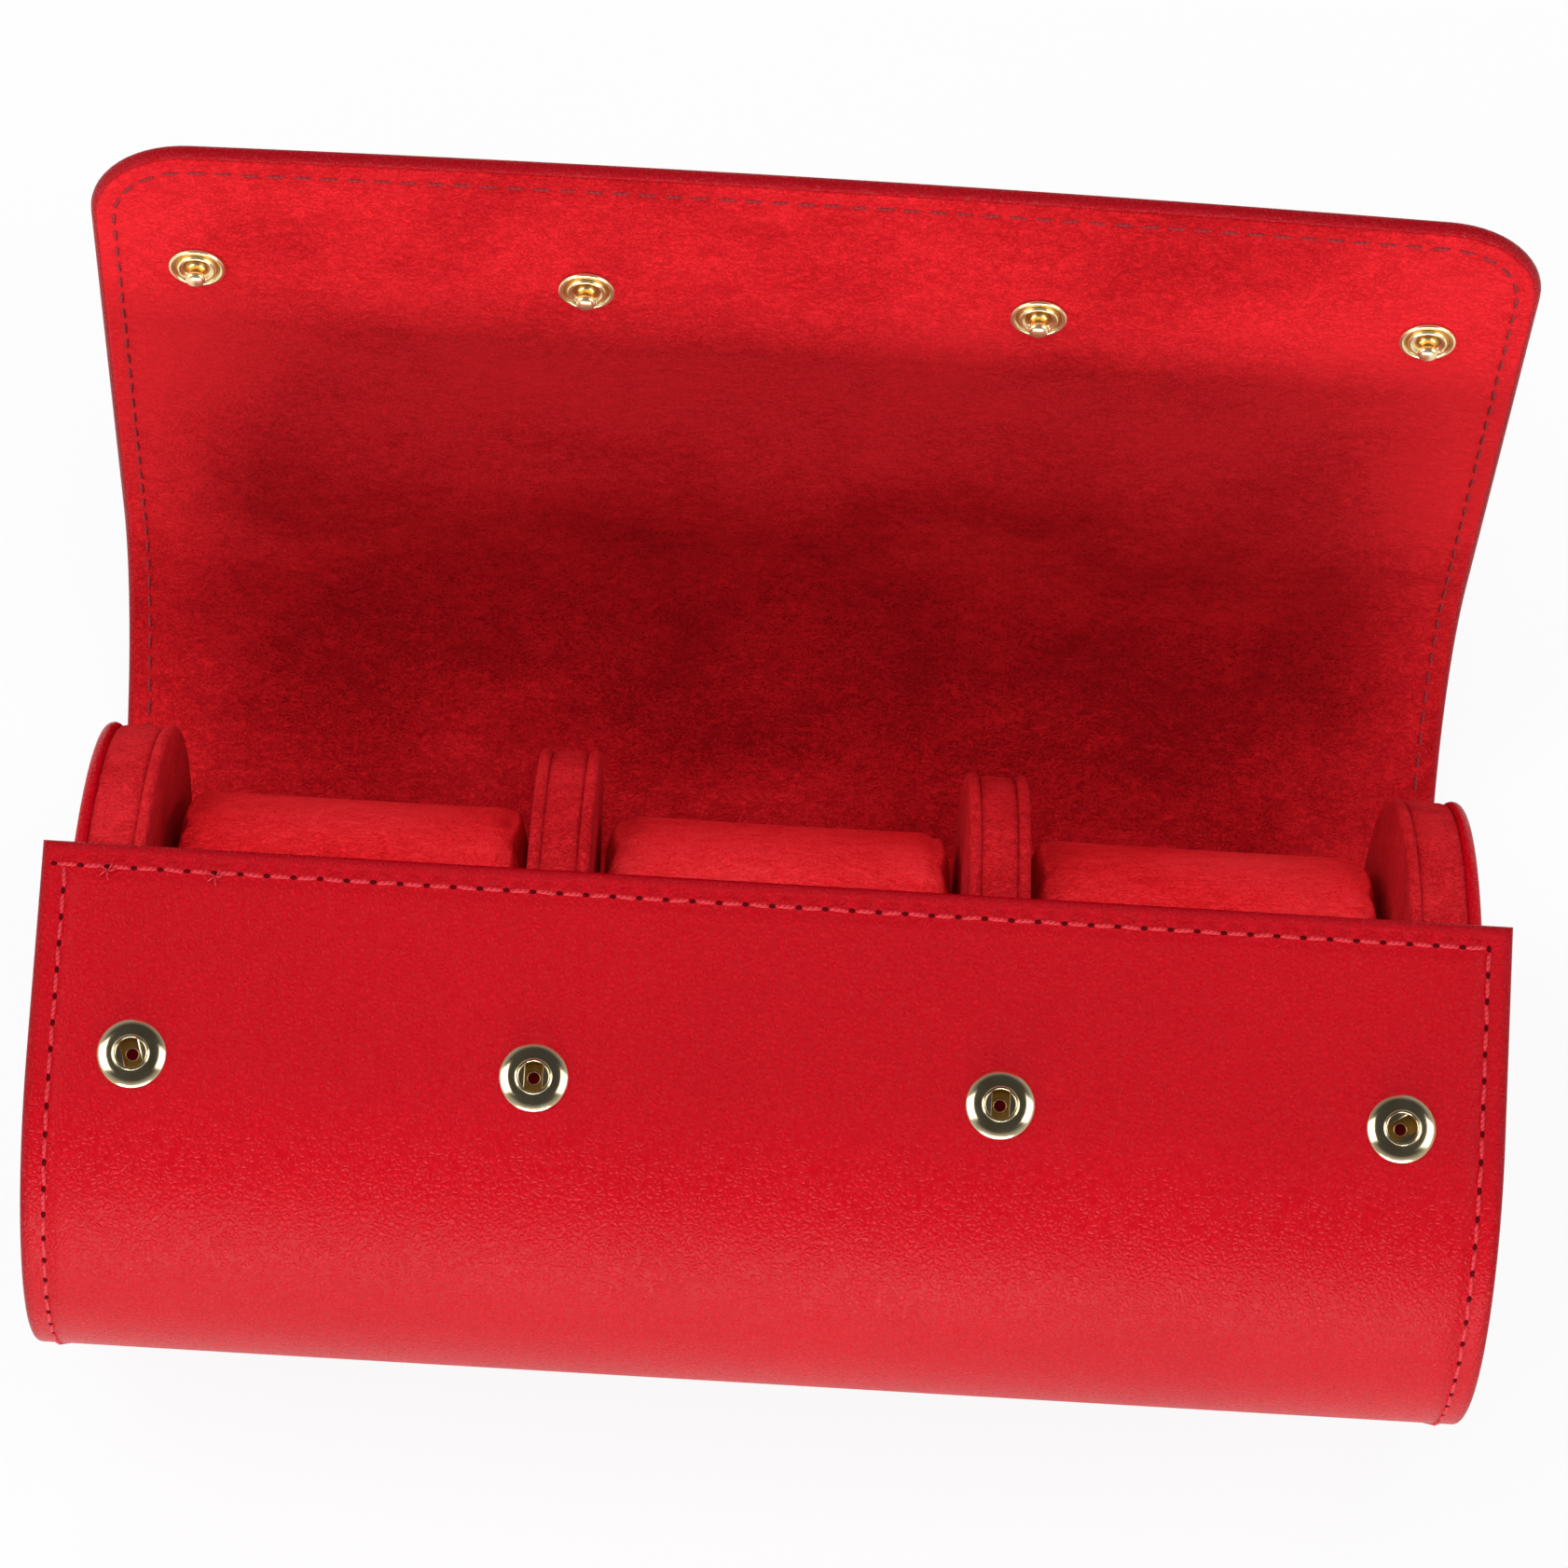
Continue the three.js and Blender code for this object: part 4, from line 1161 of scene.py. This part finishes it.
# Each piece's second material is painted shade in its recesses: deeper gold in rings, grooves and round the
# neck, and the dark needle-hole colour in the post's eyelet.
snap_models = [
    ("socket", turned("socket_model", socket_profile, snap_steps), plated_brass, shaded_gold),
    ("post", turned("post_model", post_profile, post_steps), satin_gold, needle_hole_shade),
    ("stud", turned("stud_model", stud_profile, snap_steps), satin_gold, shaded_gold),
    ("cap", turned("cap_model", cap_profile, snap_steps), plated_brass, None),
]
for kind, model, outer, inner in snap_models:
    smooth(model, sharp_angle=60)
    model.data.materials.append(outer)
    if inner:
        model.data.materials.append(inner)
    for face in model.data.polygons:
        if lies_inside(kind, math.hypot(*face.center.xy), face.center.z):
            face.material_index = 1
    on_panel = kind in ("socket", "post")
    for count, x in enumerate(snap_places, 1):
        piece = copy_of(model, f"{kind}_{count}")
        if on_panel:
            matrix = set_on_path(x, socket_distance, -sheet_thickness, True)
        elif kind == "stud":
            matrix = set_on_path(x, stud_distance, 0, False)
        else:
            matrix = set_on_path(x, stud_distance, -sheet_thickness, True)
        piece.data.transform(matrix)
        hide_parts(f"snap_{kind}_{count}")
        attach(piece, "wrap" if on_panel else "flap_tip")
    bpy.data.objects.remove(model)

# Two flat bars of spring brass cross the ring of each socket, and rise to its wall.
spring_gap = 1.25 * MM
spring_reach = 2.1 * MM
spring_thickness = 0.3 * MM
spring_height = 0.66 * MM
spring_rise = 0.34
spring_clocks = [17, 0, 0, -60]
spring_edge = 0.07 * MM
deselect()
bpy.ops.mesh.primitive_cylinder_add(vertices=48, radius=spring_reach, depth=spring_thickness,
                                    location=(0, 0, spring_height))
spring_model = bpy.context.object
apply_place()
deselect()
bpy.ops.mesh.primitive_cube_add(size=1, location=(0, 0, spring_height))
window = bpy.context.object
window.scale = (2 * spring_gap, 3 * spring_reach, 3 * spring_thickness)
apply_place()
cut_away(spring_model, window)
for vertex in spring_model.data.vertices:
    vertex.co.z += spring_rise * (abs(vertex.co.x) - spring_gap)
edges = spring_model.modifiers.new("pressed_edges", "BEVEL")
edges.width = spring_edge
edges.segments = 2
edges.limit_method = "ANGLE"
edges.angle_limit = math.radians(35)
bpy.ops.object.modifier_apply(modifier=edges.name)
smooth(spring_model, sharp_angle=55)
spring_model.data.materials.append(plated_brass)
for count, (x, clock) in enumerate(zip(snap_places, spring_clocks), 1):
    piece = copy_of(spring_model, f"spring_{count}")
    piece.data.transform(set_on_path(x, socket_distance, -sheet_thickness, True)
                         @ Matrix.Rotation(math.radians(clock), 4, "Z"))
    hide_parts(f"snap_spring_{count}")
    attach(piece, "wrap")
bpy.data.objects.remove(spring_model)


# Table and light
# A white table and soft white light from the sides and the front, as in a light tent with the
# camera over it, so that metal that faces up shows the dark ceiling.
table_size = 6
table_grey = "#DEDEDE"
seen_glow = 0.8
mirrored_glow = 0.1
tent_low, tent_high = 0.08, 0.6
tent_wall = (0.62, 0.62, 0.62, 1)
tent_ceiling = (0.06, 0.06, 0.06, 1)
tent_strength = 0.8

deselect()
bpy.ops.mesh.primitive_plane_add(size=table_size, location=(0, 0, 0))
table = bpy.context.object
table.name = "table"
# A smooth white board, bright enough to look evenly white, with soft shadows under the roll.
table_white, tree, shader = start_material("white_table", {
    "Base Color": srgb(table_grey), "Roughness": 0.9, "Specular IOR Level": 0.1,
})
rays = add(tree, "LightPath")
seen = add(tree, "Math", {0: rays.outputs["Is Camera Ray"], 1: rays.outputs["Is Glossy Ray"]},
           operation="MAXIMUM")
seen = add(tree, "Math", {0: seen, 1: rays.outputs["Is Transmission Ray"]}, operation="MAXIMUM")
glow = add(tree, "Emission")
share = add(tree, "Math", {0: seen, 1: mirrored_glow}, operation="MULTIPLY")
share = add(tree, "Math", {0: rays.outputs["Is Camera Ray"], 1: seen_glow, 2: share},
            operation="MULTIPLY_ADD")
blend = add(tree, "MixShader", {"Fac": share, 1: shader, 2: glow})
link_up(tree.nodes["Material Output"], {"Surface": blend})
table.data.materials.append(table_white)

world = bpy.data.worlds.new("light_tent")
bpy.context.scene.world = world
world.use_nodes = True
tree = world.node_tree
background = tree.nodes["Background"]
direction = add(tree, "TexCoord")
split = add(tree, "SeparateXYZ", {"Vector": direction.outputs["Generated"]})
tent = add(tree, "ValToRGB", {"Fac": split.outputs["Z"]})
stops = tent.color_ramp.elements
stops[0].position, stops[0].color = tent_low, tent_wall
stops[1].position, stops[1].color = tent_high, tent_ceiling
link_up(background, {"Color": tent})
background.inputs["Strength"].default_value = tent_strength


def softbox(name, place, aim, size, watts):
    """A square lamp that points from its place at its aim."""
    lamp = bpy.data.lights.new(name, "AREA")
    lamp.shape = "RECTANGLE"
    lamp.size, lamp.size_y = size
    lamp.energy = watts
    box = bpy.data.objects.new(name, lamp)
    look = (Vector(aim) - Vector(place)).to_track_quat("-Z", "Y")
    box.matrix_world = Matrix.Translation(place) @ look.to_matrix().to_4x4()
    bpy.context.collection.objects.link(box)
    return box


softbox("left_softbox", (-1.1, -0.15, 0.75), (0, 0, 0.05), (1.0, 1.0), 8.4)
softbox("right_softbox", (1.1, -0.15, 0.75), (0, 0, 0.05), (0.9, 0.9), 7)
softbox("front_softbox", (0, -0.9, 0.085), (0, 0, 0.06), (1.0, 0.13), 8.4)
softbox("rear_softbox", (0, 1.0, 0.95), (0, 0, 0.08), (1.2, 0.6), 5).visible_glossy = False
softbox("top_softbox", (0, -0.1, 1.5), (0, 0.02, 0), (1.0, 0.8), 9.6).visible_glossy = False
softbox("key_softbox", (-0.5, 0.15, 0.95), (0, 0, 0.05), (0.26, 0.26), 2).visible_glossy = False

bpy.context.scene.view_settings.view_transform = "Standard"
